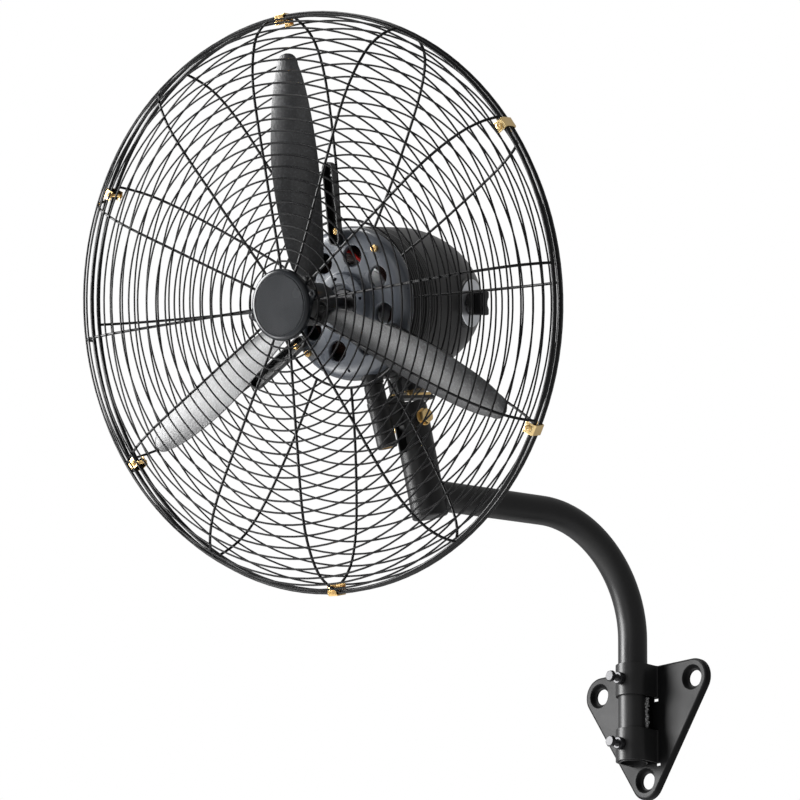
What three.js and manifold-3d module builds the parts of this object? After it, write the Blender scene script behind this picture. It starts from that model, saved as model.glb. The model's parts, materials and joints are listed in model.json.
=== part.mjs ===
// A wall-mounted industrial fan: pressed wall plate, bent tube arm, forked post, tilting and
// swinging head with an open-frame motor, three long blades and a two-part wire guard.
// Millimetres, +Z up. The origin is the centre of the plate's back face, the wall is the XZ plane
// and the fan faces -Y.
import * as THREE from 'three';
import { mergeVertices } from 'three/addons/utils/BufferGeometryUtils.js';
import Module from 'manifold-3d';

const wasm = await Module();
wasm.setup();

const RAD = Math.PI / 180;
const GAP = 0.3;                  // running or seating gap between two touching pieces

// ---------------------------------------------------------------- driving dimensions
const tubeD = 38;                 // arm tube, outside
const tubeWall = 2.5;
const legStandoff = 31;           // tube axis in front of the plate's back face
const legBottom = -50;            // open lower end of the tube
const legTop = 112;               // where the bend starts
const bendRadius = 144;
const bendAngle = 96;             // the bend goes a little past a right angle
const armReach = 350;             // leg axis to post axis
const armSwivelRest = -3.4;       // the arm is turned a little to one side

const plateT = 9;
const plateHoleSpan = 164;        // between the two upper holes
const plateHoleUpper = 54;        // height of the upper holes
const plateHoleLower = -69;       // height of the lower hole
const plateCornerR = 25;
const plateHoleD = 18;
const dimpleD = 34;
const dimpleDepth = 5;
const plateEdgeR = 2;

const strapT = 3;
const strapHeight = 42;
const strapUpperZ = 57;           // middle heights of the two straps
const strapLowerZ = -28;
const saddleT = 3;
const saddleW = 26;

const boltD = 8;
const boltHeadAF = 13;
const boltHeadH = 5.5;
const boltFree = 9;               // bare thread between clamp nut and bolt head
const clampNutD = 16;
const clampNutH = 7;

const postD = 45;
const postBelow = 30;             // post below the arm's axis
const postToTilt = 93;            // arm's axis to tilt bolt, along the post
const postLean = 16;              // the post leans away from the wall
const forkSlotW = 16;
const forkSlotDepth = 62;         // below the tilt bolt's axis plus the ear
const tiltBoltD = 10;
const tiltHeadAF = 17;
const tiltHeadH = 7;
const tiltNutH = 8;
const tiltWasherD = 22;
const tiltWasherT = 2;

const headLean = 18.3;             // swing axis against the plate's vertical
const lugEyeR = 18;
const lugWebTop = 24;             // above the tilt bolt's axis
const lugWebBottom = -4;
const pivotOffset = 48;           // tilt bolt to swing axis
const pivotTubeD = 25;
const pivotBore = 16;
const pivotTubeBottom = -30;
const pivotTubeTop = 50;
const pivotCollarD = 27;
const pivotCollarH = 7;
const bushWall = 2.3;
const swingPinD = 11;
const flangeT = 5;                // flat top of the lug, which carries the link's anchor
const flangeW = 24;

const axisHeight = 155.5;         // fan axis above the tilt bolt, at the swing axis
const swingRest = 14.2;           // the head is turned to one side in its sweep
const headDroop = 2;              // the motor hangs nose down against the swing axis
const pivotBack = 92;             // guard's middle plane to swing axis

const anchorBack = 28;            // swing axis to the link's anchor screw
const crankBack = 74;             // swing axis to the crank's shaft
const linkW = 16;
const linkT = 4;
const linkPinHole = 7;            // wide enough for the crank's pin to work in
const crankT = 4;
const crankArmW = 14;
const crankBossD = 22;
const crankPinD = 5;
const crankShaftD = 8;
const crankShaftTop = 15;         // above the crank's underside
const screwD = 5;
const anchorHeadD = 11;
const anchorHeadH = 3;

const motorD = 192;
const motorFront = 70;            // guard's middle plane to the motor's front face
const earDepth = 16;              // the swing pin's ear, up into the motor's rim
const bracketDepth = 40;
const canLength = 70;
const canWall = 2.5;
const domeLength = 135.4;
const domeStraight = 3.4;         // straight part of the rear cover, before it rounds off
const domeEndR = 18;
const domePower = 1.15;           // 1 is a plain ellipse, and more is a little more pointed
const rearWallT = 5;              // wall that carries the rear bearing
const rearWallInset = 0.5;
const bossR = 38;
const bossH = 10;
const windowR = 13;               // cooling windows in the front bracket
const windowCircleR = 60;
const windowCount = 8;
const windowStart = 17;
const shaftD = 15;
const statorInnerR = 44;
const statorLength = 44;
const statorShift = 12.5;         // the stator sits forward of the can's middle
const coilR = 11;
const rotorGap = 1;
const bearingD = 35;
const bearingW = 11;

const guardR = 350;               // middle of the rim wires
const rimWire = 5.2;
const rimHalfGap = 4.6;           // each rim wire from the guard's middle plane
const ringWire = 2.4;
const radialWire = 3.4;
const radialCount = 12;
const stationStart = 19.5;        // first clip's angle around the fan
const radialShift = 1.7;          // front and rear radials stand either side of a clip
const frontRingCount = 5;
const rearRingCount = 5;
const guardFacets = 24;
const frontRingR = 38;            // inner ring of the front guard, under the badge
const rearRingR = 104;            // inner ring of the rear guard

const frontFlat = 24;             // the front guard stays flat this far out from the inner ring
const frontRise = 122;            // and is nearly at its full depth this far out
// the guards' bent lines: [radius, distance from the guard's middle plane]
const frontLine = [
  [frontRingR, 50.5], [frontRingR + frontFlat, 51], [frontRingR + frontRise, 58], [guardR - 75, 62],
  [guardR - 28, 48], [guardR - 5, 22], [guardR, rimHalfGap],
];
const stripInnerR = 72;
const stripOuterR = 168;
const rearLine = [
  [rearRingR, 71.8], [stripOuterR + 10, 71.7], [guardR - 65, 60],
  [guardR - 25, 46], [guardR - 5, 23], [guardR, rimHalfGap],
];

const badgeR = 43;
const badgeT = 9;
const badgeEarR = 6;
const badgeFront = 62;

const bladeTipR = 306;
const bladeT = 2.6;
const bladeRootD = 17;            // round shank at the hub
const bladeRootPitch = 32;
const bladeNeck = 8;              // from the hub to where the shank starts to flatten
const bladeBow = 0.12;            // camber as a share of the half chord
// along each blade: [radius, half chord, pitch in degrees, sweep ahead of the radius]
const bladeStations = [
  [45, 19, bladeRootPitch, 0],
  [70, 23.3, 29, 1],
  [100, 26.2, 26, 2.5],
  [140, 29.1, 21.8, 4],
  [180, 30, 17.6, 4.8],
  [230, 26.6, 12.4, 4.5],
  [272, 20.4, 8, 4.2],
  [296, 12.5, 5.4, 4],
  [bladeTipR, 4, 4.5, 4],
];
const bladeCount = 3;
const bladeStart = 79;            // angle of the blade that stands upright
const hubR = 26;
const hubLength = 46;
const hubNutAF = 19;
const hubNutH = 9;

const stripCount = 3;
const stripStart = 80;
const stripW = 16;
const stripDepth = 9;
const stripT = 2;
const stripScrewR = 90;

const clipCount = 6;
const clipW = 13;
const clipT = 1.6;
const clipScrewD = 4;

const knobD = 30;
const knobL = 22;
const knobStemD = 9;
const knobAngle = -17;            // place of the knob around the motor's side
const knobForward = -207;         // guard's middle plane to the knob's axis
const knobPadD = 50;              // flat oval pad under the knob, along the motor
const knobPadH = 62;              // and around it
const knobPadR = 97;              // the pad's face, from the motor's axis
const knobPadT = 12;
const knobGap = 1;                // under the knob's skirt
const knobBarT = 8;

const swingMotorD = 50;
const swingMotorH = 20;
const swingMotorSeat = 6;         // above the crank's underside

// ---------------------------------------------------------------- solids
function toSolid(geometry) {
  const bare = geometry.clone();
  bare.deleteAttribute('normal');
  bare.deleteAttribute('uv');
  const merged = mergeVertices(bare, 1e-4);
  const position = merged.attributes.position;
  const index = merged.index.array;
  let triangles = [];
  for (let i = 0; i < index.length; i += 3) {
    const [a, b, c] = [index[i], index[i + 1], index[i + 2]];
    if (a !== b && b !== c && a !== c) triangles.push(a, b, c);
  }
  const corner = (i) => new THREE.Vector3().fromBufferAttribute(position, i);
  let volume = 0;
  for (let i = 0; i < triangles.length; i += 3) {
    const [a, b, c] = [corner(triangles[i]), corner(triangles[i + 1]), corner(triangles[i + 2])];
    volume += a.dot(b.cross(c));
  }
  if (volume < 0) triangles = triangles.reverse();
  const mesh = new wasm.Mesh({
    numProp: 3,
    vertProperties: new Float32Array(position.array),
    triVerts: new Uint32Array(triangles),
  });
  return new wasm.Manifold(mesh);
}

function toGeometry(solid) {
  const mesh = solid.getMesh();
  const geometry = new THREE.BufferGeometry();
  geometry.setAttribute('position', new THREE.BufferAttribute(new Float32Array(mesh.vertProperties), 3));
  geometry.setIndex(new THREE.BufferAttribute(new Uint32Array(mesh.triVerts), 1));
  geometry.computeVertexNormals();
  return geometry;
}

function join(...geometries) {
  return toGeometry(geometries.map(toSolid).reduce((whole, piece) => whole.add(piece)));
}

function cut(base, ...tools) {
  return toGeometry(tools.map(toSolid).reduce((whole, tool) => whole.subtract(tool), toSolid(base)));
}

function common(a, b) {
  return toGeometry(toSolid(a).intersect(toSolid(b)));
}

// profile: [radius, height] pairs; the lathe turns about Z or, for the fan, about -Y (forward)
function latheZ(profile, facets) {
  const points = profile.map(([r, h]) => new THREE.Vector2(r, h));
  return new THREE.LatheGeometry(points, facets).rotateX(Math.PI / 2);
}

function latheForward(profile, facets) {
  return latheZ(profile, facets).rotateX(Math.PI / 2);
}

function rodZ(diameter, from, to, facets = 20) {
  const r = diameter / 2;
  return latheZ([[0, from], [r, from], [r, to], [0, to]], facets);
}

function tubeZ(outer, inner, from, to, facets = 24) {
  const [a, b] = [inner / 2, outer / 2];
  return latheZ([[a, from], [b, from], [b, to], [a, to], [a, from]], facets);
}

// along the fan's axis: `forward` counts towards the viewer of the fan's front
function rodForward(diameter, from, to, facets = 24) {
  return rodZ(diameter, from, to, facets).rotateX(Math.PI / 2);
}

function tubeForward(outer, inner, from, to, facets = 24) {
  return tubeZ(outer, inner, from, to, facets).rotateX(Math.PI / 2);
}

function rodX(diameter, from, to, facets = 20) {
  return rodZ(diameter, from, to, facets).rotateY(Math.PI / 2);
}

function block(x0, x1, y0, y1, z0, z1) {
  const geometry = new THREE.BoxGeometry(x1 - x0, y1 - y0, z1 - z0);
  return geometry.translate((x0 + x1) / 2, (y0 + y1) / 2, (z0 + z1) / 2);
}

// hexagonal prism across `flats`, along Z
function hexZ(flats, from, to) {
  return rodZ(flats / Math.cos(30 * RAD), from, to, 6);
}

function material(color, roughness, metalness) {
  return () => new THREE.MeshStandardMaterial({ color, roughness, metalness });
}

const satinBlack = material(0x1c1d1f, 0.45, 0.3);
const castGrey = material(0x3a3e44, 0.5, 0.4);
const zincYellow = material(0xb8862e, 0.35, 0.9);
const blackZinc = material(0x17181a, 0.4, 0.7);
const bladeGrey = material(0x44474c, 0.7, 0.3);
const steel = material(0x9a9da2, 0.3, 0.9);
const copper = material(0x8a3a1e, 0.4, 0.8);
const bronze = material(0x8c6a3a, 0.4, 0.8);
const blackPlastic = material(0x101112, 0.4, 0.0);

function piece(parent, name, geometry, finish) {
  const mesh = new THREE.Mesh(geometry, finish());
  mesh.name = name;
  parent.add(mesh);
  return mesh;
}

// ---------------------------------------------------------------- wall bracket
const fan = new THREE.Group();
const tubeR = tubeD / 2;

const plateHoles = [
  [-plateHoleSpan / 2, plateHoleUpper], [0, plateHoleLower], [plateHoleSpan / 2, plateHoleUpper],
];

function plateOutline(inset) {
  const r = plateCornerR - inset;
  const slope = Math.atan2(plateHoleUpper - plateHoleLower, plateHoleSpan / 2);
  const shape = new THREE.Shape();
  const side = Math.PI / 2 - slope;
  const turns = [[Math.PI / 2, Math.PI + side], [Math.PI + side, 2 * Math.PI - side], [-side, Math.PI / 2]];
  plateHoles.forEach(([x, z], i) => {
    const [from, to] = turns[i];
    shape.absarc(x, z, r, from, to, false);
  });
  shape.closePath();
  return shape;
}

function plateSlab(inset, from, to) {
  const options = { depth: to - from, bevelEnabled: false, curveSegments: 6 };
  const slab = new THREE.ExtrudeGeometry(plateOutline(inset), options);
  return slab.rotateX(Math.PI / 2).translate(0, -from, 0);
}

function wallPlate() {
  const body = join(plateSlab(0, 0, plateT - plateEdgeR), plateSlab(plateEdgeR, 0, plateT));
  const tools = plateHoles.map(([x, z]) => {
    const floor = plateT - dimpleDepth;
    const profile = [[0, -1], [plateHoleD / 2, -1], [plateHoleD / 2, floor], [plateHoleD / 2 + 3, floor],
      [dimpleD / 2, plateT], [dimpleD / 2, plateT + 1], [0, plateT + 1]];
    return latheForward(profile, 16).translate(x, 0, z);
  });
  return cut(body, ...tools);
}

function strap(middle) {
  const inner = tubeR + GAP;
  const outer = inner + strapT;
  const shape = new THREE.Shape();
  const back = -(plateT + GAP);
  shape.moveTo(outer, back);
  shape.absarc(0, -legStandoff, outer, 0, -Math.PI, true);
  shape.lineTo(-outer, back);
  shape.lineTo(-inner, back);
  shape.absarc(0, -legStandoff, inner, -Math.PI, 0, false);
  shape.lineTo(inner, back);
  shape.closePath();
  const options = { depth: strapHeight, bevelEnabled: false, curveSegments: 10 };
  const band = new THREE.ExtrudeGeometry(shape, options).translate(0, 0, middle - strapHeight / 2);
  const boltHole = rodForward(boltD + 2 * GAP, 0, 80, 12).translate(0, -legStandoff, middle);
  return cut(band, boltHole);
}

const clampFace = legStandoff + tubeR + GAP + strapT + GAP;   // where a clamp nut sits on its strap

function clampNut(middle) {
  const blank = rodForward(clampNutD, clampFace, clampFace + clampNutH, 16);
  return cut(blank, rodForward(boltD + 2 * GAP, 0, 90, 12)).translate(0, 0, middle);
}

function clampBolt(middle) {
  const tip = legStandoff + tubeR + GAP;
  const headFrom = clampFace + clampNutH + boltFree;
  const shank = rodForward(boltD, tip, headFrom + 1, 12);
  const head = hexZ(boltHeadAF, headFrom, headFrom + boltHeadH).rotateX(Math.PI / 2);
  return join(shank, head).translate(0, 0, middle);
}

function saddle() {
  const from = strapLowerZ + strapHeight / 2 + 1;
  const to = strapUpperZ - strapHeight / 2 - 1;
  const back = -(plateT + GAP);
  const web = block(-saddleW / 2, saddleW / 2, -(plateT + GAP + saddleT), back, from, to);
  const reach = -(legStandoff);
  const left = block(-saddleW / 2, -saddleW / 2 + saddleT, reach, back, from, to);
  const right = block(saddleW / 2 - saddleT, saddleW / 2, reach, back, from, to);
  const clearance = rodZ(tubeD + 2 * GAP, from - 1, to + 1, 32).translate(0, -legStandoff, 0);
  return cut(join(web, left, right), clearance);
}

piece(fan, 'wall_plate', wallPlate(), satinBlack);
piece(fan, 'tube_saddle', saddle(), satinBlack);
[['upper', strapUpperZ], ['lower', strapLowerZ]].forEach(([place, middle]) => {
  piece(fan, `strap_${place}`, strap(middle), satinBlack);
  piece(fan, `clamp_nut_${place}`, clampNut(middle), blackZinc);
  piece(fan, `clamp_bolt_${place}`, clampBolt(middle), blackZinc);
});

// ---------------------------------------------------------------- arm
// In the arm's own group the leg runs up the Z axis and the arm reaches out along -Y.
const arm = new THREE.Group();
arm.position.set(0, -legStandoff, 0);
arm.rotation.z = armSwivelRest * RAD;
fan.add(arm);

const fall = (bendAngle - 90) * RAD;
const bendEndY = -bendRadius * (1 + Math.sin(fall));
const bendEndZ = legTop + bendRadius * Math.cos(fall);
const jointZ = bendEndZ - (armReach + bendEndY) * Math.tan(fall);

function armCurve() {
  const path = new THREE.CurvePath();
  const at = (y, z) => new THREE.Vector3(0, y, z);
  path.add(new THREE.LineCurve3(at(0, legBottom), at(0, legTop)));
  const arcSteps = 9;
  const onArc = (i) => {
    const turn = i / arcSteps * bendAngle * RAD;
    return at(-bendRadius * (1 - Math.cos(turn)), legTop + bendRadius * Math.sin(turn));
  };
  for (let i = 0; i < arcSteps; i += 1) path.add(new THREE.LineCurve3(onArc(i), onArc(i + 1)));
  path.add(new THREE.LineCurve3(at(bendEndY, bendEndZ), at(-armReach, jointZ)));
  return path;
}

function sweepTube(outer, inner, sides) {
  const path = armCurve();
  const stations = [path.curves[0].v1, ...path.curves.map((c) => c.v2)];
  const normal = new THREE.Vector3(1, 0, 0);
  const lastRun = stations[stations.length - 1].clone().sub(stations[stations.length - 2]).normalize();
  const ring = (index, radius) => {
    const before = stations[Math.max(index - 1, 0)];
    const after = stations[Math.min(index + 1, stations.length - 1)];
    const tangent = after.clone().sub(before).normalize();
    if (index <= 1) tangent.set(0, 0, 1);
    if (index >= stations.length - 2) tangent.copy(lastRun);
    const up = tangent.clone().cross(normal).normalize();
    return Array.from({ length: sides }, (_, i) => {
      const angle = i / sides * 2 * Math.PI;
      return stations[index].clone()
        .addScaledVector(normal, Math.cos(angle) * radius)
        .addScaledVector(up, Math.sin(angle) * radius);
    });
  };
  const loft = (radius) => loftRings(stations.map((_, i) => ring(i, radius)));
  return cut(loft(outer), loft(inner));
}

// a closed skin over a list of rings that all have the same number of points
function loftRings(rings) {
  const sides = rings[0].length;
  const vertices = rings.flat().flatMap((p) => [p.x, p.y, p.z]);
  const triangles = [];
  for (let k = 0; k + 1 < rings.length; k += 1) {
    for (let i = 0; i < sides; i += 1) {
      const [a, b] = [k * sides + i, k * sides + (i + 1) % sides];
      triangles.push(a, b, b + sides, a, b + sides, a + sides);
    }
  }
  const last = (rings.length - 1) * sides;
  for (let i = 1; i + 1 < sides; i += 1) {
    triangles.push(0, i + 1, i, last, last + i, last + i + 1);
  }
  const geometry = new THREE.BufferGeometry();
  geometry.setAttribute('position', new THREE.Float32BufferAttribute(vertices, 3));
  geometry.setIndex(triangles);
  return geometry;
}

// the post's frame: its axis is Z, the arm meets it at z = 0 and the tilt bolt is at postToTilt
function onPost(geometry) {
  return geometry.rotateX(postLean * RAD).translate(0, -armReach, jointZ);
}

function armTube() {
  const cope = onPost(rodZ(postD + 2 * GAP, -postBelow - 60, postToTilt, 24));
  return cut(sweepTube(tubeR, tubeR - tubeWall, 16), cope);
}

function post() {
  const r = postD / 2;
  const body = rodZ(postD, -postBelow, postToTilt + r, 24);
  const side = new THREE.Shape();
  side.moveTo(-r, -postBelow);
  side.lineTo(r, -postBelow);
  side.lineTo(r, postToTilt);
  side.absarc(0, postToTilt, r, 0, Math.PI, false);
  side.closePath();
  const options = { depth: postD, bevelEnabled: false, curveSegments: 10 };
  const rounded = new THREE.ExtrudeGeometry(side, options).translate(0, 0, -r)
    .rotateX(Math.PI / 2).rotateZ(Math.PI / 2);
  const half = forkSlotW / 2;
  const slot = block(-half, half, -r - 1, r + 1, postToTilt + r - forkSlotDepth, postToTilt + r + 1);
  const bore = rodX(tiltBoltD + 2 * GAP, -r - 1, r + 1, 16).translate(0, 0, postToTilt);
  return onPost(cut(common(body, rounded), slot, bore));
}

function tiltBolt() {
  const r = postD / 2;
  const shank = rodX(tiltBoltD, -(r + tiltNutH + 1), r + tiltWasherT + 2 * GAP + 1, 16);
  const seat = r + tiltWasherT + 2 * GAP;
  const head = hexZ(tiltHeadAF, seat, seat + tiltHeadH).rotateY(Math.PI / 2);
  return onPost(join(shank, head).translate(0, 0, postToTilt));
}

function tiltWasher() {
  const r = postD / 2;
  const ring = tubeZ(tiltWasherD, tiltBoltD + 2 * GAP, r + GAP, r + GAP + tiltWasherT, 16);
  return onPost(ring.rotateY(Math.PI / 2).translate(0, 0, postToTilt));
}

function tiltNut() {
  const r = postD / 2;
  const end = r + GAP + tiltNutH;
  const nut = hexZ(tiltHeadAF, -end, -(r + GAP));
  const bore = rodZ(tiltBoltD + 2 * GAP, -(end + 1), 0, 16);
  return onPost(cut(nut, bore).rotateY(Math.PI / 2).translate(0, 0, postToTilt));
}

piece(arm, 'arm_tube', armTube(), satinBlack);
piece(arm, 'post_fork', post(), satinBlack);
piece(arm, 'tilt_bolt', tiltBolt(), zincYellow);
piece(arm, 'tilt_washer', tiltWasher(), zincYellow);
piece(arm, 'tilt_nut', tiltNut(), zincYellow);

// ---------------------------------------------------------------- tilting lug
// Its frame: the tilt bolt's axis is X through the origin and the swing axis is parallel to Z.
const yoke = new THREE.Group();
const tiltHeight = postToTilt * Math.cos(postLean * RAD);
const tiltForward = postToTilt * Math.sin(postLean * RAD);
yoke.position.set(0, -armReach - tiltForward, jointZ + tiltHeight);
yoke.rotation.x = headLean * RAD;
arm.add(yoke);

const collarTop = lugWebTop + flangeT;

function lug() {
  const half = forkSlotW / 2 - GAP;
  const eye = rodX(2 * lugEyeR, -half, half, 20);
  const web = block(-half, half, -pivotOffset, 0, lugWebBottom, lugWebTop);
  const outer = rodZ(pivotTubeD, pivotTubeBottom, pivotTubeTop, 20).translate(0, -pivotOffset, 0);
  const collar = rodZ(pivotCollarD, lugWebTop - pivotCollarH, collarTop, 20).translate(0, -pivotOffset, 0);
  const flangeEnd = -pivotOffset + anchorBack;
  const flange = block(-flangeW / 2, flangeW / 2, -pivotOffset, flangeEnd, lugWebTop, collarTop);
  const flangeNose = rodZ(flangeW, lugWebTop, collarTop, 16).translate(0, flangeEnd, 0);
  const tiltBore = rodX(tiltBoltD + 2 * GAP, -half - 1, half + 1, 16);
  const pinBore = rodZ(pivotBore, pivotTubeBottom - 1, pivotTubeTop + 1, 16).translate(0, -pivotOffset, 0);
  const anchorBore = rodZ(screwD, lugWebTop - 8, collarTop + 1, 12).translate(0, flangeEnd, 0);
  return cut(join(eye, web, outer, collar, flange, flangeNose), tiltBore, pinBore, anchorBore);
}

function bush() {
  const inner = pivotBore - 2 * bushWall;
  return tubeZ(pivotBore - 2 * GAP, inner, pivotTubeBottom, pivotTubeTop, 16).translate(0, -pivotOffset, 0);
}

function anchorScrew() {
  const top = collarTop + GAP + linkT + GAP;
  const shank = rodZ(screwD - 2 * GAP, lugWebTop - 7, top + 1, 12);
  const head = rodZ(anchorHeadD, top, top + anchorHeadH, 16);
  return join(shank, head).translate(0, -pivotOffset + anchorBack, 0);
}

piece(yoke, 'tilt_lug', lug(), satinBlack);
piece(yoke, 'swing_bush', bush(), bronze);
piece(yoke, 'anchor_screw', anchorScrew(), zincYellow);

// ---------------------------------------------------------------- swing link and crank
// Anchor, swing axis, crank shaft and crank pin are the corners of a parallelogram, so the link
// stays parallel to the head's middle line and the crank stays parallel to the lug.
const headTurn = swingRest * RAD;
const crankX = -crankBack * Math.sin(headTurn);
const crankY = -pivotOffset + crankBack * Math.cos(headTurn);
const linkZ = collarTop + GAP;
const crankZ = linkZ + linkT + GAP;

function linkBar() {
  const half = linkW / 2;
  const length = crankBack;
  const bar = block(-half, half, 0, length, 0, linkT);
  const ends = [rodZ(linkW, 0, linkT, 16), rodZ(linkW, 0, linkT, 16).translate(0, length, 0)];
  const anchorHole = rodZ(screwD + 2 * GAP, -1, linkT + 1, 12);
  const pinHole = rodZ(linkPinHole, -1, linkT + 1, 12).translate(0, length, 0);
  const flat = cut(join(bar, ...ends), anchorHole, pinHole);
  return flat.rotateZ(headTurn).translate(0, -pivotOffset + anchorBack, linkZ);
}

function crank() {
  const half = crankArmW / 2;
  const bar = block(-half, half, 0, anchorBack, 0, crankT);
  const boss = rodZ(crankBossD, 0, crankT, 16);
  const nose = rodZ(crankArmW, 0, crankT, 12).translate(0, anchorBack, 0);
  const pin = rodZ(crankPinD, -(linkT + 2 * GAP), 1, 12).translate(0, anchorBack, 0);
  const shaft = rodZ(crankShaftD, 1, crankShaftTop, 12);
  return join(bar, boss, nose, pin, shaft).translate(crankX, crankY, crankZ);
}

piece(yoke, 'swing_link', linkBar(), satinBlack);
piece(yoke, 'crank_arm', crank(), zincYellow);

// ---------------------------------------------------------------- head
// Its frame: the origin is the middle of the guard on the fan's axis, forward is -Y.
const head = new THREE.Group();
const headPivot = new THREE.Group();
headPivot.position.set(0, -pivotOffset, axisHeight);
headPivot.rotation.set(headDroop * RAD, 0, headTurn, 'ZYX');
head.position.set(0, -pivotBack, 0);
headPivot.add(head);
yoke.add(headPivot);
yoke.updateMatrixWorld(true);

// brings a shape that is built in the lug's frame into the head's frame
function lugToHead(geometry) {
  head.updateWorldMatrix(true, false);
  yoke.updateWorldMatrix(true, false);
  const toHead = head.matrixWorld.clone().invert().multiply(yoke.matrixWorld);
  return geometry.applyMatrix4(toHead);
}

const motorR = motorD / 2;
const bracketBack = -(motorFront + bracketDepth);
const canBack = bracketBack - GAP - canLength;
const domeBack = canBack - GAP - domeLength;
const earTop = axisHeight - motorR + earDepth;

function frontBracket() {
  const face = -motorFront;
  const seat = bearingD / 2 + GAP;
  const shell = latheForward([[seat, face - 14], [bossR, face - 14], [bossR + 4, face - 5],
    [motorR - 18, face - 6], [motorR - 6, face - 14], [motorR - 4, bracketBack], [motorR, bracketBack],
    [motorR, face - 12], [motorR - 10, face - 2], [motorR - 20, face], [bossR + 2, face],
    [bossR, face + bossH], [shaftD / 2 + 4, face + bossH], [shaftD / 2 + 4, face + bossH - 4],
    [seat, face + bossH - 4], [seat, face - 14]], 24);
  const windows = Array.from({ length: windowCount }, (_, i) => {
    const angle = (windowStart + i * 360 / windowCount) * RAD;
    const [x, z] = [Math.cos(angle) * windowCircleR, Math.sin(angle) * windowCircleR];
    return rodForward(2 * windowR, face - 30, face + 5, 10).translate(x, 0, z);
  });
  const earFrom = pivotTubeTop + 1;
  const ear = lugToHead(rodZ(pivotTubeD + 2, earFrom, earTop, 16).translate(0, -pivotOffset, 0));
  const inside = rodForward(2 * motorR - 8, bracketBack - 20, face - 6, 24);
  const pinRoom = rodZ(swingPinD + 2 * GAP, earFrom - 5, earTop - 4, 12);
  const pinBore = lugToHead(pinRoom.translate(0, -pivotOffset, 0));
  return cut(join(cut(shell, ...windows), cut(ear, inside)), pinBore);
}

function swingPin() {
  const pin = rodZ(swingPinD, pivotTubeBottom + 2, earTop - 5, 12);
  return lugToHead(pin.translate(0, -pivotOffset, 0));
}

const canOuter = motorD;
const rearBearingMiddle = canBack + rearWallInset + 7;

// the can closes at its rear with a wall that carries the rear bearing
function motorCan() {
  const seat = bearingD + 2 * GAP;
  const shell = tubeForward(canOuter, canOuter - 2 * canWall, canBack, bracketBack - GAP, 24);
  const wallBack = canBack + rearWallInset;
  const wall = tubeForward(canOuter - 1, seat, wallBack, wallBack + rearWallT, 24);
  const cup = tubeForward(seat + 8, seat, wallBack, rearBearingMiddle + bearingW / 2 + 1.5, 16);
  return join(shell, wall, cup);
}

// the rear cover: a shell that rounds off towards its flat end
function rearCover() {
  const from = canBack - GAP;
  const outer = canOuter / 2;
  const steps = 6;
  const rounded = (inset) => Array.from({ length: steps + 1 }, (_, i) => {
    const angle = i / steps * Math.PI / 2;
    const r = domeEndR + (outer - domeEndR) * Math.max(Math.cos(angle), 0) ** domePower - inset;
    const depth = (domeLength - domeStraight - inset) * Math.sin(angle) ** domePower;
    return [r, from - domeStraight - depth];
  });
  const skin = [[outer, from], ...rounded(0)];
  const lining = [[outer - canWall, from], ...rounded(canWall)].reverse();
  const profile = [...skin, [0, domeBack], [0, domeBack + canWall], ...lining, [outer, from]];
  const oval = rodZ(knobPadD, knobPadR - knobPadT, knobPadR, 24).scale(knobPadH / knobPadD, 1, 1);
  const stemHole = aroundMotor(rodZ(knobStemD + 2 * GAP, knobPadR - 2 * knobPadT, knobPadR + 1, 10));
  return cut(join(latheForward(profile, 24), aroundMotor(oval)), stemHole);
}

// stands a shape that is built along Z on the motor's side, at the knob's place
function aroundMotor(geometry) {
  return geometry.rotateY(Math.PI / 2 - knobAngle * RAD).translate(0, -knobForward, 0);
}

function bearing(middle) {
  return tubeForward(bearingD, shaftD + 2 * GAP, middle - bearingW / 2, middle + bearingW / 2, 16);
}

const statorMiddle = bracketBack - canLength / 2 + statorShift;
const statorOuter = canOuter - 2 * canWall - 2 * GAP;
const frontBearingMiddle = -motorFront - 2;

function coil(end) {
  const middle = statorMiddle + end * (statorLength / 2 + coilR * Math.cos(30 * RAD) + GAP);
  const ring = new THREE.TorusGeometry(statorInnerR + coilR + 6, coilR, 6, 20);
  return ring.rotateX(Math.PI / 2).translate(0, -middle, 0);
}

piece(head, 'motor_front_bracket', frontBracket(), castGrey);
piece(head, 'motor_can', motorCan(), satinBlack);
piece(head, 'motor_rear_cover', rearCover(), satinBlack);
piece(head, 'stator_core', tubeForward(statorOuter, 2 * statorInnerR, statorMiddle - statorLength / 2,
  statorMiddle + statorLength / 2, 24), steel);
piece(head, 'winding_front', coil(1), copper);
piece(head, 'winding_rear', coil(-1), copper);
piece(head, 'bearing_front', bearing(frontBearingMiddle), steel);
piece(head, 'bearing_rear', bearing(rearBearingMiddle), steel);
piece(head, 'swing_pin', swingPin(), steel);

// ---------------------------------------------------------------- swing motor
function swingMotor() {
  const from = crankZ + swingMotorSeat;
  const body = rodZ(swingMotorD, from, from + swingMotorH, 24);
  const bore = rodZ(crankShaftD + 2 * GAP, from - 1, crankZ + crankShaftTop + GAP, 16);
  return lugToHead(cut(body, bore).translate(crankX, crankY, 0));
}

function swingMotorSaddle() {
  const from = crankZ + swingMotorSeat + swingMotorH + GAP;
  const base = rodZ(swingMotorD - 8, from, from + 30, 24);
  const canRoom = rodForward(canOuter + 2 * GAP, canBack - 40, bracketBack + 40, 32);
  return cut(lugToHead(base.translate(crankX, crankY, 0)), canRoom);
}

piece(head, 'swing_motor', swingMotor(), blackPlastic);
piece(head, 'swing_motor_saddle', swingMotorSaddle(), satinBlack);

// ---------------------------------------------------------------- control knob
function knob() {
  const skirt = knobPadR + knobGap;
  const top = skirt + knobL;
  const stem = rodZ(knobStemD, knobPadR - knobPadT, skirt + 1, 12);
  const grip = latheZ([[0, skirt], [knobD / 2, skirt], [knobD / 2, skirt + 6], [knobD / 2 - 3, skirt + 8],
    [0, skirt + 8]], 24);
  const bar = block(-knobD / 2, knobD / 2, -knobBarT / 2, knobBarT / 2, skirt + 1, top);
  return aroundMotor(join(stem, grip, bar));
}

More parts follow.
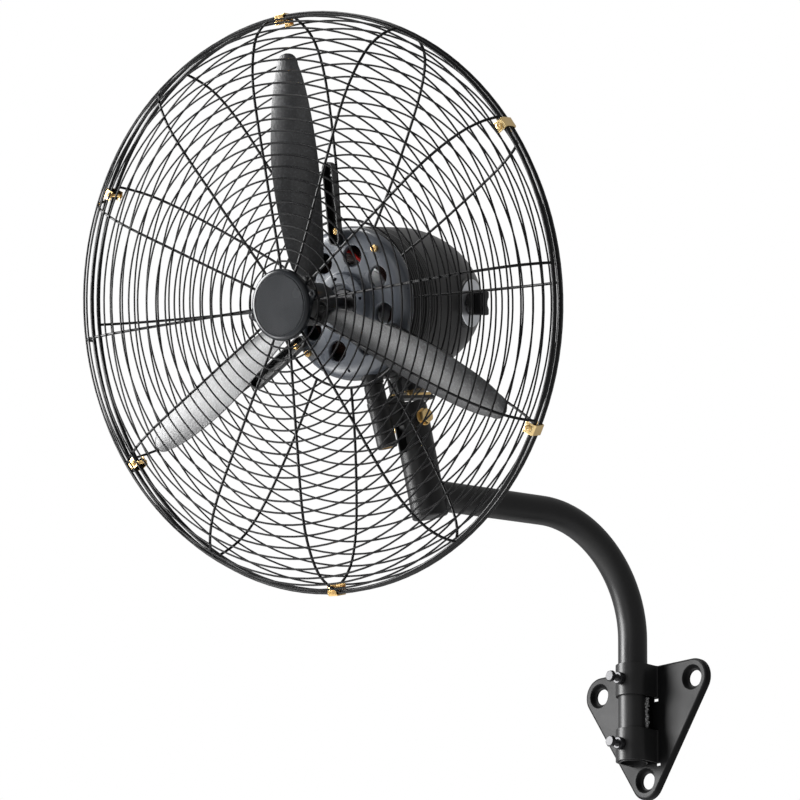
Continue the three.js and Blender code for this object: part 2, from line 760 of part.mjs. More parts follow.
piece(head, 'control_knob', knob(), blackPlastic);

// ---------------------------------------------------------------- rotor, hub and blades
const hubFront = hubLength / 2;
const shaftFront = hubFront + hubNutH + 6;   // its end stands proud of the nut

piece(head, 'motor_shaft', rodForward(shaftD, rearBearingMiddle - bearingW / 2, shaftFront, 20), steel);
piece(head, 'rotor_core', tubeForward(2 * (statorInnerR - rotorGap), shaftD + 2 * GAP,
  statorMiddle - statorLength / 2, statorMiddle + statorLength / 2, 24), steel);

function hub() {
  const profile = [[shaftD / 2 + GAP, -hubFront], [hubR - 4, -hubFront], [hubR, -hubFront + 8],
    [hubR, hubFront - 6], [hubR - 5, hubFront], [shaftD / 2 + GAP, hubFront],
    [shaftD / 2 + GAP, -hubFront]];
  return latheForward(profile, 20);
}

function hubNut() {
  const nut = hexZ(hubNutAF, hubFront + GAP, hubFront + GAP + hubNutH);
  return cut(nut, rodZ(shaftD + 2 * GAP, 0, hubFront + 2 * hubNutH, 16)).rotateX(Math.PI / 2);
}

// a section across the blade at one radius: `fat` is 0 on the thin petal and 1 on the round shank
function bladeSection(r, half, pitch, sweep, fat) {
  const across = [-1, -0.5, 0, 0.5, 1];
  const place = (u, side) => {
    const thin = bladeT / 2 * (1 - 0.5 * u * u);
    const round = Math.max(Math.sqrt(1 - u * u) * bladeRootD / 2, 1);
    const bow = bladeBow * half * (1 - u * u) * (1 - fat);
    const lift = bow + side * (thin + (round - thin) * fat);
    const along = sweep + u * half;
    const tangent = along * Math.cos(pitch * RAD) - lift * Math.sin(pitch * RAD);
    const forward = along * Math.sin(pitch * RAD) + lift * Math.cos(pitch * RAD);
    return new THREE.Vector3(r, -forward, tangent);
  };
  return [...across.map((u) => place(u, 1)), ...across.slice().reverse().map((u) => place(u, -1))];
}

function blade(angle) {
  const shank = bladeRootD / 2;
  const sections = [
    bladeSection(hubR + GAP, shank, bladeRootPitch, 0, 1),
    bladeSection(hubR + bladeNeck, shank + 2, bladeRootPitch, 0, 0.8),
    ...bladeStations.map(([r, half, pitch, sweep]) => bladeSection(r, half, pitch, sweep, 0)),
  ];
  return toGeometry(toSolid(loftRings(sections).rotateY(-angle)));
}

piece(head, 'blade_hub', hub(), satinBlack);
piece(head, 'hub_nut', hubNut(), zincYellow);
for (let i = 0; i < bladeCount; i += 1) {
  piece(head, `blade_${i + 1}`, blade((bladeStart + i * 360 / bladeCount) * RAD), bladeGrey);
}

// ---------------------------------------------------------------- wire guard
// A guard's wires follow one line, given as [radius, distance from the guard's middle plane].
// `side` is 1 for the front guard and -1 for the rear one.
const guards = {
  front: {
    side: 1,
    rings: frontRingCount,
    line: frontLine,
  },
  rear: {
    side: -1,
    rings: rearRingCount,
    line: rearLine,
  },
};

function guardLine(guard, u) {
  const points = guard.line.map(([r, t]) => new THREE.Vector3(r, t * guard.side, 0));
  const curve = new THREE.CatmullRomCurve3(points, false, 'centripetal');
  const place = curve.getPointAt(u);
  return [place.x, place.y];
}

function wireRing(r, forward, diameter) {
  const ring = new THREE.TorusGeometry(r, diameter / 2, diameter > ringWire ? 4 : 3, guardFacets);
  return ring.rotateZ(stationStart * RAD).rotateX(Math.PI / 2).translate(0, -forward, 0);
}

// a radial wire: a square section carried through the places where it crosses the rings
function radial(guard, angle) {
  const half = radialWire / 2;
  const sections = Array.from({ length: guard.rings + 1 }, (_, k) => {
    const at = (u) => guardLine(guard, Math.min(Math.max(u, 0), 1));
    const [r, forward] = at(k / guard.rings);
    const [r0, f0] = at((k - 0.5) / guard.rings);
    const [r1, f1] = at((k + 0.5) / guard.rings);
    const length = Math.hypot(r1 - r0, f1 - f0);
    const [alongR, alongF] = [(r1 - r0) / length, (f1 - f0) / length];
    return [[1, 1], [-1, 1], [-1, -1], [1, -1]].map(([a, b]) => new THREE.Vector3(
      r - alongF * a * half, -(forward + alongR * a * half), b * half));
  });
  return loftRings(sections).rotateY(-angle);
}

function guardWires(guard) {
  const wires = [];
  for (let k = 0; k <= guard.rings; k += 1) {
    const [r, forward] = guardLine(guard, k / guard.rings);
    const diameter = k === 0 ? radialWire : k === guard.rings ? rimWire : ringWire;
    wires.push(wireRing(r, forward, diameter));
  }
  for (let i = 0; i < radialCount; i += 1) {
    const angle = (stationStart + guard.side * radialShift + i * 360 / radialCount) * RAD;
    wires.push(radial(guard, angle));
  }
  return join(...wires);
}

piece(head, 'front_guard', guardWires(guards.front), satinBlack);
piece(head, 'rear_guard', guardWires(guards.rear), satinBlack);

// ---------------------------------------------------------------- badge
function badge() {
  const back = badgeFront - badgeT;
  const disc = latheForward([[0, back], [badgeR, back], [badgeR, badgeFront - 3], [badgeR - 3, badgeFront],
    [badgeR - 6, badgeFront], [badgeR - 7, badgeFront - 1], [badgeR - 8, badgeFront], [0, badgeFront]], 24);
  const ears = [0, Math.PI].map((angle) => rodForward(2 * badgeEarR, back, back + 4, 12)
    .translate(Math.cos(angle) * (badgeR + 2), 0, 0));
  const holes = [-1, 1].map((side) => rodForward(3.4, back - 1, back + 5, 8)
    .translate(side * (badgeR + 3), 0, 0));
  return cut(join(disc, ...ears), ...holes);
}

function badgeScrew(side) {
  const back = badgeFront - badgeT;
  const shank = rodForward(2.8, back - 4, back + 4 + GAP + 1, 8);
  const top = rodForward(5.5, back + 4 + GAP, back + 4 + GAP + 2, 10);
  return join(shank, top).translate(side * (badgeR + 3), 0, 0);
}

piece(head, 'front_badge', badge(), castGrey);
piece(head, 'badge_screw_left', badgeScrew(-1), blackZinc);
piece(head, 'badge_screw_right', badgeScrew(1), blackZinc);

// ---------------------------------------------------------------- rear guard strips
const stripBack = -motorFront + GAP;

function stripChannel(angle) {
  const half = stripW / 2;
  const from = stripInnerR + half;
  const web = block(from, stripOuterR, -(stripBack + stripT), -stripBack, -half, half);
  const leg = (z) => block(from, stripOuterR, -(stripBack + stripDepth), -stripBack, z, z + stripT);
  const ends = [stripInnerR + half, stripOuterR];
  const front = stripBack + stripDepth;
  const noses = ends.map((r) => rodForward(stripW, stripBack, front, 20).translate(r, 0, 0));
  const noseRooms = ends.map((r) => rodForward(stripW - 2 * stripT, stripBack + stripT, front + 9, 20)
    .translate(r, 0, 0));
  const channelRoom = block(from, stripOuterR, -(stripBack + 20), -(stripBack + stripT),
    -half + stripT, half - stripT);
  const screwHole = rodForward(screwD + 2 * GAP, stripBack - 1, front + 9, 10).translate(stripScrewR, 0, 0);
  const channel = join(web, leg(-half), leg(half - stripT), ...noses);
  return cut(channel, ...noseRooms, channelRoom, screwHole).rotateY(-angle);
}

function stripScrew(angle) {
  const seat = stripBack + stripT + GAP;
  const top = rodForward(9, seat, seat + 3, 12);
  const shank = rodForward(screwD, stripBack, seat + 1, 10);
  return join(top, shank).translate(stripScrewR, 0, 0).rotateY(-angle);
}

for (let i = 0; i < stripCount; i += 1) {
  const angle = (stripStart + i * 360 / stripCount) * RAD;
  piece(head, `guard_strip_${i + 1}`, stripChannel(angle), satinBlack);
  piece(head, `strip_screw_${i + 1}`, stripScrew(angle), zincYellow);
}

// ---------------------------------------------------------------- rim clips
const clipInside = rimHalfGap + rimWire / 2 + GAP;
const clipOutside = clipInside + clipT;
const clipBackR = guardR + rimWire / 2 + GAP;
const clipScrewR = guardR - rimWire / 2 - GAP - clipScrewD / 2;

function rimClip(angle) {
  const half = clipW / 2;
  const lip = clipScrewR - clipScrewD / 2 - 2;
  const back = block(clipBackR, clipBackR + clipT, -clipOutside, clipOutside, -half, half);
  const cheek = (y) => block(lip, clipBackR + clipT, y, y + clipT, -half, half);
  const hole = rodForward(clipScrewD + 2 * GAP, -20, 20, 8).translate(clipScrewR, 0, 0);
  return cut(join(back, cheek(-clipOutside), cheek(clipInside)), hole).rotateY(-angle);
}

function clipScrew(angle) {
  const seat = clipOutside + GAP;
  const shank = rodForward(clipScrewD, -clipOutside - 3, seat + 1, 8);
  const top = rodForward(7, seat, seat + 2.4, 10);
  return join(shank, top).translate(clipScrewR, 0, 0).rotateY(-angle);
}

for (let i = 0; i < clipCount; i += 1) {
  const angle = (stationStart + i * 360 / clipCount) * RAD;
  piece(head, `rim_clip_${i + 1}`, rimClip(angle), zincYellow);
  piece(head, `clip_screw_${i + 1}`, clipScrew(angle), zincYellow);
}

export default fan;
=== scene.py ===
# %% [markdown]
# # A wall mounted fan
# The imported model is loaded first. It holds every solid of the fan in metres, with the wall in the
# XZ plane and the fan facing -Y, and each solid rides on the body that moves it. Everything made
# below goes where those solids are, and takes their place in the picture.

# %% Load the frame
import json
import math
import random

import bmesh
import bpy
from mathutils import Matrix, Vector


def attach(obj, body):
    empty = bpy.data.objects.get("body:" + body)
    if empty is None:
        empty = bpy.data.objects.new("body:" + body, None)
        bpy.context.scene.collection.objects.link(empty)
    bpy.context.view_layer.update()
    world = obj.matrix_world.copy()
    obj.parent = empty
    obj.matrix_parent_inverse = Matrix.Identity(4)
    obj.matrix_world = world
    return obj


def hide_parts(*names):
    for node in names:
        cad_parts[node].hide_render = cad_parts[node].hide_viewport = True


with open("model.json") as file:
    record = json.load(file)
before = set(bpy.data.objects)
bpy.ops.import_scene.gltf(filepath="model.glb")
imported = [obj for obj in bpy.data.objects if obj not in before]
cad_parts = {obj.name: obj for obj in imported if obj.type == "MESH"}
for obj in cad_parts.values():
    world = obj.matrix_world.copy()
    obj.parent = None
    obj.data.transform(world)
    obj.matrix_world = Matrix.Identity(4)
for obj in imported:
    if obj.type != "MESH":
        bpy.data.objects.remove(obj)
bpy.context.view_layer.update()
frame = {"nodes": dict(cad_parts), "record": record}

# %% [markdown]
# ## Places
# The fan is a chain of parts: the arm is turned in the wall bracket, the lug tilts in the fork and
# the head swings on the lug's tube. Every piece could be drawn where it ends up, but the sloping axes
# would hide its sizes. One matrix for each link of the chain lets a piece be drawn in its own straight
# frame, in millimetres, and then be put in place in one step.

# %% Frames of the chain, in millimetres
MM = 0.001


def turn(degrees, axis):
    return Matrix.Rotation(math.radians(degrees), 4, axis)


def shift(x, y, z):
    return Matrix.Translation((x, y, z))


tube_d, tube_wall, leg_standoff, leg_bottom, leg_top = 38, 2.5, 31, -50, 112
bend_r, bend_angle, arm_reach = 144, 96, 350
post_d, post_below, post_to_tilt, post_lean = 45, 30, 93, 16
pivot_offset, pivot_back, axis_height = 48, 92, 155.5
guard_r, rim_half_gap = 349.4, 6
arm_swivel_seen, lug_tilt_seen, head_swing_seen, head_pitch = -3.4, 18.3, 14.2, 2     # degrees

fall = math.radians(bend_angle - 90)
bend_end_y = -bend_r * (1 + math.sin(fall))
bend_end_z = leg_top + bend_r * math.cos(fall)
joint_z = bend_end_z - (arm_reach + bend_end_y) * math.tan(fall)
lean = math.radians(post_lean)

WALL = Matrix()
ARM = shift(0, -leg_standoff, 0) @ turn(arm_swivel_seen, 'Z')
POST = ARM @ shift(0, -arm_reach, joint_z) @ turn(post_lean, 'X')
YOKE = (ARM @ shift(0, -arm_reach - post_to_tilt * math.sin(lean),
                    joint_z + post_to_tilt * math.cos(lean)) @ turn(lug_tilt_seen, 'X'))
HEAD = (YOKE @ shift(0, -pivot_offset, axis_height) @ turn(head_swing_seen, 'Z') @ turn(head_pitch, 'X')
        @ shift(0, -pivot_back, 0))
print("middle of the guard", [round(v, 1) for v in HEAD.translation])

# %% [markdown]
# ## The camera
# The photograph looks up at the fan from the right. The camera could be aimed by hand, but then the
# plate and the guard never line up together. It was fitted instead: three angles give its direction,
# and one point says where the middle of the plate lies in its view. A long lens keeps the plate and
# the guard in front of it at nearly the same scale, so the camera stands three metres away.

# %% Camera
def set_camera():
    azimuth, elevation, roll = math.radians(49.079), math.radians(-20.026), math.radians(1.779)
    depth = Vector((-math.sin(azimuth) * math.cos(elevation),
                    math.cos(azimuth) * math.cos(elevation), -math.sin(elevation)))
    level = Vector((math.cos(azimuth), math.sin(azimuth), 0))
    up = level.cross(depth)
    right = math.cos(roll) * level + math.sin(roll) * up
    down = -(math.cos(roll) * up - math.sin(roll) * level)
    origin_seen = Vector((323.709, 426.625, 3114.95)) * MM      # right, down and away
    place = -(right * origin_seen.x + down * origin_seen.y + depth * origin_seen.z)
    data = bpy.data.cameras.new("camera")
    data.lens = 108.005
    data.sensor_width = 36
    data.clip_end = 50
    camera = bpy.data.objects.new("camera", data)
    bpy.context.scene.collection.objects.link(camera)
    camera.matrix_world = Matrix((
        (right.x, -down.x, -depth.x, place.x), (right.y, -down.y, -depth.y, place.y),
        (right.z, -down.z, -depth.z, place.z), (0, 0, 0, 1)))
    bpy.context.scene.camera = camera
    return camera


camera = set_camera()
print("camera at", [round(v, 2) for v in camera.location])

# %% [markdown]
# ## Surface effects
# Powder coat, zinc and cast paint all show fine grain, and dust lies on what faces up. Each material
# could have its own noise nodes. Instead each effect is one small node group with named sliders, so
# that every material uses it with its own scale and strength.

# %% Node helpers
def new_group(name, inputs, outputs):
    group = bpy.data.node_groups.new(name, 'ShaderNodeTree')
    for label, value in inputs.items():
        kind = 'NodeSocketColor' if isinstance(value, tuple) else 'NodeSocketFloat'
        socket = group.interface.new_socket(name=label, in_out='INPUT', socket_type=kind)
        socket.default_value = value
    for label, kind in outputs.items():
        group.interface.new_socket(name=label, in_out='OUTPUT', socket_type=kind)
    return group, group.nodes.new('NodeGroupInput'), group.nodes.new('NodeGroupOutput')


def add(tree, kind, inputs=None, **settings):
    node = tree.nodes.new(kind)
    for key, value in settings.items():
        setattr(node, key, value)
    for key, value in (inputs or {}).items():
        if isinstance(value, bpy.types.NodeSocket):
            tree.links.new(value, node.inputs[key])
        else:
            node.inputs[key].default_value = value
    return node


def remap(tree, value, low, high, to_low, to_high):
    node = add(tree, 'ShaderNodeMapRange', {'Value': value, 'From Min': low, 'From Max': high,
                                            'To Min': to_low, 'To Max': to_high})
    return node.outputs['Result']


def mixed(tree, factor, a, b, mode='MIX'):
    node = tree.nodes.new('ShaderNodeMix')
    node.data_type = 'RGBA'
    node.blend_type = mode
    for socket, value in ((node.inputs[0], factor), (node.inputs[6], a), (node.inputs[7], b)):
        if isinstance(value, bpy.types.NodeSocket):
            tree.links.new(value, socket)
        else:
            socket.default_value = value
    return node.outputs[2]


print("node helpers ready")

# %% Coat group: fine grain, cloudy colour and uneven gloss
def make_coat():
    group, given, out = new_group(
        'coat', {'Colour': (0.1, 0.1, 0.1, 1), 'Light colour': (0.2, 0.2, 0.2, 1), 'Grain size': 900.0,
                 'Cloud amount': 0.3, 'Speckle amount': 0.0, 'Roughness': 0.4, 'Roughness spread': 0.1},
        {'Colour': 'NodeSocketColor', 'Roughness': 'NodeSocketFloat', 'Height': 'NodeSocketFloat'})
    place = add(group, 'ShaderNodeTexCoord').outputs['Object']
    grain = add(group, 'ShaderNodeTexNoise', {'Vector': place, 'Scale': given.outputs['Grain size'],
                                              'Detail': 3.0, 'Roughness': 0.6})
    cloud = add(group, 'ShaderNodeTexNoise', {'Vector': place, 'Scale': 14.0, 'Detail': 4.0})
    speck = remap(group, grain.outputs['Fac'], 0.5, 0.72, 0.0, 1.0)
    speck_part = add(group, 'ShaderNodeMath', {0: speck, 1: given.outputs['Speckle amount']},
                     operation='MULTIPLY')
    cloud_part = add(group, 'ShaderNodeMath', {0: cloud.outputs['Fac'], 1: given.outputs['Cloud amount']},
                     operation='MULTIPLY')
    total = add(group, 'ShaderNodeMath', {0: speck_part.outputs[0], 1: cloud_part.outputs[0]},
                operation='ADD', use_clamp=True)
    colour = mixed(group, total.outputs[0], given.outputs['Colour'], given.outputs['Light colour'])
    swing = remap(group, cloud.outputs['Fac'], 0.3, 0.7, -1.0, 1.0)
    spread = add(group, 'ShaderNodeMath', {0: swing, 1: given.outputs['Roughness spread'],
                                           2: given.outputs['Roughness']}, operation='MULTIPLY_ADD')
    group.links.new(colour, out.inputs['Colour'])
    group.links.new(spread.outputs[0], out.inputs['Roughness'])
    group.links.new(grain.outputs['Fac'], out.inputs['Height'])
    return group


def make_dust():
    group, given, out = new_group(
        'dust', {'Colour': (0.1, 0.1, 0.1, 1), 'Dust colour': (0.3, 0.29, 0.27, 1), 'Amount': 0.1},
        {'Colour': 'NodeSocketColor', 'Mask': 'NodeSocketFloat'})
    normal = add(group, 'ShaderNodeNewGeometry').outputs['Normal']
    height = add(group, 'ShaderNodeSeparateXYZ', {'Vector': normal}).outputs['Z']
    facing = remap(group, height, 0.2, 1.0, 0.0, 1.0)
    place = add(group, 'ShaderNodeTexCoord').outputs['Object']
    patch = add(group, 'ShaderNodeTexNoise', {'Vector': place, 'Scale': 38.0, 'Detail': 5.0})
    lying = add(group, 'ShaderNodeMath', {0: facing, 1: patch.outputs['Fac']}, operation='MULTIPLY')
    mask = add(group, 'ShaderNodeMath', {0: lying.outputs[0], 1: given.outputs['Amount']},
               operation='MULTIPLY', use_clamp=True)
    colour = mixed(group, mask.outputs[0], given.outputs['Colour'], given.outputs['Dust colour'])
    group.links.new(colour, out.inputs['Colour'])
    group.links.new(mask.outputs[0], out.inputs['Mask'])
    return group


coat_group, dust_group = make_coat(), make_dust()
print("groups", coat_group.name, dust_group.name)

# %% [markdown]
# ## Finishes
# The fan is sprayed, plated or left bare, and the sprayed parts differ only a little: the motor's face
# is bluer, and lighter than its black side as painted sheen of its lit front; the guard is darker, the
# blades coarser. The wall plate, the shaft with its bearings and the winding are painted darker as
# painted shade. Each could be a material of its own making. Here one function builds them all from a
# table of looks, so that they can be compared line by line. The bumps stay shallow: on a real powder
# coat they only break up the shine.

# %% Finishes
def finish(name, colour, light, grain=900.0, cloud=0.3, speckle=0.0, rough=0.4, spread=0.08,
           metallic=0.0, bump=0.05, dust=0.06, specular=0.25):
    material = bpy.data.materials.new(name)
    material.use_nodes = True
    tree = material.node_tree
    shader = tree.nodes['Principled BSDF']
    grained = add(tree, 'ShaderNodeGroup', node_tree=coat_group)
    for key, value in (('Colour', (*colour, 1)), ('Light colour', (*light, 1)), ('Grain size', grain),
                       ('Cloud amount', cloud), ('Speckle amount', speckle), ('Roughness', rough),
                       ('Roughness spread', spread)):
        grained.inputs[key].default_value = value
    dusted = add(tree, 'ShaderNodeGroup', node_tree=dust_group)
    dusted.inputs['Amount'].default_value = dust
    tree.links.new(grained.outputs['Colour'], dusted.inputs['Colour'])
    tree.links.new(dusted.outputs['Colour'], shader.inputs['Base Color'])
    tree.links.new(grained.outputs['Roughness'], shader.inputs['Roughness'])
    relief = add(tree, 'ShaderNodeBump', {'Height': grained.outputs['Height'], 'Strength': bump,
                                          'Distance': 0.0004})
    tree.links.new(relief.outputs['Normal'], shader.inputs['Normal'])
    shader.inputs['Metallic'].default_value = metallic
    shader.inputs['Specular IOR Level'].default_value = specular
    return material


LOOKS = {
    "black_paint": dict(colour=(0.0075, 0.0075, 0.0078), light=(0.016, 0.016, 0.0165), rough=0.38, bump=0.16,
                        specular=0.27, dust=0.03),
    # painted shade: a darker, duller copy of black_paint, so the plate reads darker than the arm and straps
    "shaded_plate_paint": dict(colour=(0.0045, 0.0045, 0.0047), light=(0.0105, 0.0105, 0.011), rough=0.38, bump=0.16,
                        specular=0.075, dust=0.03),
    "strip_coat": dict(colour=(0.002, 0.002, 0.0022), light=(0.005, 0.005, 0.0055), rough=0.3, bump=0.1,
                       specular=0.45, dust=0.0),
    "guard_coat": dict(colour=(0.0015, 0.0015, 0.0018), light=(0.003, 0.003, 0.0035), rough=0.28, bump=0.06,
                       specular=0.18, dust=0.0),
    "motor_paint": dict(colour=(0.005, 0.006, 0.0075), light=(0.01, 0.0115, 0.014), rough=0.25, spread=0.03,
                        bump=0.06, specular=0.22, dust=0.0),
    # partly painted sheen: the face's own bluer paint, made far lighter than the black side for the light it
    # catches
    "face_paint_and_sheen": dict(colour=(0.052, 0.059, 0.072), light=(0.078, 0.088, 0.105), rough=0.3, bump=0.14,
                       specular=0.7, dust=0.0),
    "shell_paint": dict(colour=(0.0135, 0.0135, 0.0137), light=(0.029, 0.029, 0.0295), rough=0.38, bump=0.12,
                        specular=0.34, dust=0.05),
    "blade_coat": dict(colour=(0.0015, 0.0017, 0.0024), light=(0.045, 0.047, 0.053), grain=380.0, cloud=0.02,
                       speckle=0.5, rough=0.37, spread=0.05, bump=1.0, specular=0.44, dust=0.0),
    "yellow_zinc": dict(colour=(0.6, 0.32, 0.08), light=(0.95, 0.76, 0.4), grain=260.0, cloud=1.0,
                        rough=0.24, metallic=1.0),
    "black_zinc": dict(colour=(0.012, 0.012, 0.013), light=(0.04, 0.04, 0.042), rough=0.25, metallic=0.5),
    "bare_steel": dict(colour=(0.62, 0.64, 0.67), light=(0.86, 0.86, 0.88), rough=0.3, metallic=1.0),
    # painted shade: machined steel painted darker for the parts that sit in the dark boss
    "shaded_steel": dict(colour=(0.05, 0.05, 0.052), light=(0.12, 0.12, 0.122), rough=0.35, metallic=1.0),
    # painted shade: the winding's enamel is painted nearly black for the dark inside of the motor
    "winding_wire": dict(colour=(0.012, 0.0035, 0.002), light=(0.04, 0.012, 0.007), rough=0.35),
    "bare_weld": dict(colour=(0.03, 0.03, 0.03), light=(0.55, 0.55, 0.56), grain=520.0, cloud=0.15,
                      speckle=0.7, rough=0.3, bump=0.5, specular=0.5),
    "red_sleeve": dict(colour=(0.42, 0.008, 0.006), light=(0.6, 0.02, 0.015)),
    "bronze": dict(colour=(0.35, 0.22, 0.08), light=(0.5, 0.36, 0.16), rough=0.35, metallic=1.0),
    "black_plastic": dict(colour=(0.004, 0.004, 0.0045), light=(0.01, 0.01, 0.011), rough=0.3, bump=0.1,
                          specular=0.3, dust=0.02)}
finishes = {name: finish(name, **look) for name, look in LOOKS.items()}
print("finishes", sorted(finishes))

# %% Solids that stay as they are get their finish
# painted shade, not oil: the shaft and bearings sit in the dark boss, so their steel is painted darker
STEEL_IN_SHADE = ("motor_shaft", "bearing_front", "bearing_rear")     # darker than the other machined steel
for part in frame["record"]["subparts"]:
    node = frame["nodes"][part["node"]]
    node.data.materials.clear()
    look = "shaded_steel" if part["node"] in STEEL_IN_SHADE else part["material_slot"]
    node.data.materials.append(finishes[look])

# %% [markdown]
# ## Drawing tools
# Modelling each piece by hand would leave nothing to read or change. Here turned parts are drawn as a
# profile, pressed parts as an outline, and castings as a few of these joined or cut. Real edges are
# never knife sharp, so most pieces get a small bevel that catches the light.

# %% Turned shapes, in millimetres
FORWARD = turn(90, 'X')      # stands a shape that was turned about Z along the fan's axis
SIDEWAYS = turn(90, 'Y')     # lays it along X


def lathe(profile, sides=48, closed=False):
    shape = bmesh.new()
    rings = []
    for radius, height in profile:
        if radius < 1e-6:
            rings.append([shape.verts.new((0, 0, height))] * sides)
        else:
            rings.append([shape.verts.new((radius * math.cos(i * math.tau / sides),
                                           radius * math.sin(i * math.tau / sides), height))
                          for i in range(sides)])
    pairs = list(zip(rings, rings[1:])) + ([(rings[-1], rings[0])] if closed else [])
    for low, high in pairs:
        for i in range(sides):
            j = (i + 1) % sides
            corners = list(dict.fromkeys((low[i], low[j], high[j], high[i])))
            if len(corners) > 2:
                shape.faces.new(corners)
    return shape


def rod(diameter, low, high, sides=32, edge=0.4):
    r = diameter / 2
    return lathe([(0, low), (r - edge, low), (r, low + edge), (r, high - edge), (r - edge, high), (0, high)],
                 sides)


def tube(outer, inner, low, high, sides=48, edge=0.3):
    a, b = inner / 2, outer / 2
    return lathe([(a, low + edge), (a + edge, low), (b - edge, low), (b, low + edge), (b, high - edge),
                  (b - edge, high), (a + edge, high), (a, high - edge)], sides, closed=True)


print("turned shapes ready")


# %% Shapes drawn as an outline or as a row of sections
def prism(outline, low, high):
    shape = bmesh.new()
    base = [shape.verts.new((x, y, low)) for x, y in outline]
    top = [shape.verts.new((x, y, high)) for x, y in outline]
    shape.faces.new(base)
    shape.faces.new(top)
    for i in range(len(base)):
        j = (i + 1) % len(base)
        shape.faces.new((base[i], base[j], top[j], top[i]))
    return shape


def block(x0, x1, y0, y1, z0, z1):
    return prism([(x0, y0), (x1, y0), (x1, y1), (x0, y1)], z0, z1)


def on_circle(r, degrees, x=0, y=0):
    return x + r * math.cos(math.radians(degrees)), y + r * math.sin(math.radians(degrees))


def hexagon(flats, low, high):
    return prism([on_circle(flats / 2 / math.cos(math.radians(30)), 60 * i) for i in range(6)], low, high)


def arc(cx, cy, r, start, end, steps):
    return [on_circle(r, start + (end - start) * i / steps, cx, cy) for i in range(steps + 1)]


def loft(rings, closed_ends=True):
    shape = bmesh.new()
    rows = [[shape.verts.new(p) for p in ring] for ring in rings]
    for low, high in zip(rows, rows[1:]):
        for i in range(len(low)):
            j = (i + 1) % len(low)
            shape.faces.new((low[i], low[j], high[j], high[i]))
    if closed_ends:
        shape.faces.new(rows[0])
        shape.faces.new(rows[-1])
    return shape


print("outlined shapes ready")


# %% Bevels, moves and pieces in one mesh
def soften(shape, width, segments=2, angle=32):
    bmesh.ops.recalc_face_normals(shape, faces=shape.faces)
    sharp = [e for e in shape.edges if len(e.link_faces) == 2
             and e.calc_face_angle(0) > math.radians(angle)]
    bmesh.ops.bevel(shape, geom=sharp, offset=width, offset_type='OFFSET', segments=segments,
                    profile=0.5, affect='EDGES', clamp_overlap=True)
    return shape


def moved(shape, *matrices):
    for matrix in matrices:
        shape.transform(matrix)
    return shape


def gather(*shapes):
    whole = shapes[0]
    for shape in shapes[1:]:
        mesh = bpy.data.meshes.new("part")
        shape.to_mesh(mesh)
        whole.from_mesh(mesh)
        bpy.data.meshes.remove(mesh)
        shape.free()
    return whole


print("bevels ready")


# %% Joining and cutting with the Boolean modifier
def as_object(shape):
    bmesh.ops.recalc_face_normals(shape, faces=shape.faces)
    mesh = bpy.data.meshes.new("tool")
    shape.to_mesh(mesh)
    shape.free()
    thing = bpy.data.objects.new("tool", mesh)
    bpy.context.scene.collection.objects.link(thing)
    return thing


def solve(operation, base, tools):
    things = [as_object(base)] + [as_object(t) for t in tools]
    for tool in things[1:]:
        step = things[0].modifiers.new("step", 'BOOLEAN')
        step.operation, step.object, step.solver = operation, tool, 'EXACT'
    seen = things[0].evaluated_get(bpy.context.evaluated_depsgraph_get())
    mesh = bpy.data.meshes.new_from_object(seen)
    result = bmesh.new()
    result.from_mesh(mesh)
    bpy.data.meshes.remove(mesh)
    for thing in things:
        data = thing.data
        bpy.data.objects.remove(thing)
        bpy.data.meshes.remove(data)
    bmesh.ops.remove_doubles(result, verts=result.verts, dist=0.01)
    bmesh.ops.dissolve_degenerate(result, edges=result.edges, dist=0.005)
    return result


def join(base, *tools):
    return solve('UNION', base, tools)


def cut(base, *tools):
    return solve('DIFFERENCE', base, tools)


def common(base, tool):
    return solve('INTERSECT', base, [tool])


print("boolean tools ready")


# %% Putting a finished piece in the scene
def settle(name, shape, place, body, slot, *nodes, smooth=32):
    """Puts a millimetre shape in the scene at its place, rides it on a body and finishes it."""
    shape.transform(Matrix.Diagonal((MM, MM, MM, 1)) @ place)
    bmesh.ops.recalc_face_normals(shape, faces=shape.faces)
    mesh = bpy.data.meshes.new(name)
    shape.to_mesh(mesh)
    shape.free()
    return settle_mesh(name, mesh, body, slot, *nodes, smooth=smooth)


def weigh_normals(piece):
    """Large faces keep their own normal, so that only the small bevels round the light off."""
    step = piece.modifiers.new("weigh", 'WEIGHTED_NORMAL')
    step.keep_sharp = True
    seen = piece.evaluated_get(bpy.context.evaluated_depsgraph_get())
    old = piece.data
    piece.data = bpy.data.meshes.new_from_object(seen)
    piece.modifiers.clear()
    piece.data.name = old.name
    bpy.data.meshes.remove(old)


def settle_mesh(name, mesh, body, slot, *nodes, smooth=32):
    mesh.shade_smooth()
    mesh.set_sharp_from_angle(angle=math.radians(smooth))
    mesh.materials.clear()
    mesh.materials.append(finishes[slot])
    piece = bpy.data.objects.new(name, mesh)
    bpy.context.scene.collection.objects.link(piece)
    weigh_normals(piece)
    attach(piece, body)
    if nodes:
        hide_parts(*nodes)
    return piece


# %% [markdown]
# ## Wall bracket
# The plate is pressed from thick sheet: its rim is rolled over and each screw hole lies in a deep
# dimple, so that the screw heads stay below the face. Two U straps are welded to it and hold the
# tube, and a bolt through each strap stops the arm from turning. A solid plate with a bevel would
# look right from the front only, so the inside of the sheet is cut out as well.

# %% Wall plate
HOLES = [(-82, 54), (0, -69), (82, 54)]


def plate_outline(r):
    side = 90 - math.degrees(math.atan2(HOLES[0][1] - HOLES[1][1], HOLES[2][0]))
    spans = [(90, 180 + side), (180 + side, 360 - side), (-side, 90)]
    return [p for (x, z), (a, b) in zip(HOLES, spans) for p in arc(x, z, r, a, b, 18)]


PLATE_T, SHEET = 9.0, 2.6
CORNER_R = 25
# slots beside the feet of the straps: left, right, low, high
FOOT_SLOTS = [(15.5, 24, 31.2, 35.2), (19, 27, -53, -49.4)]


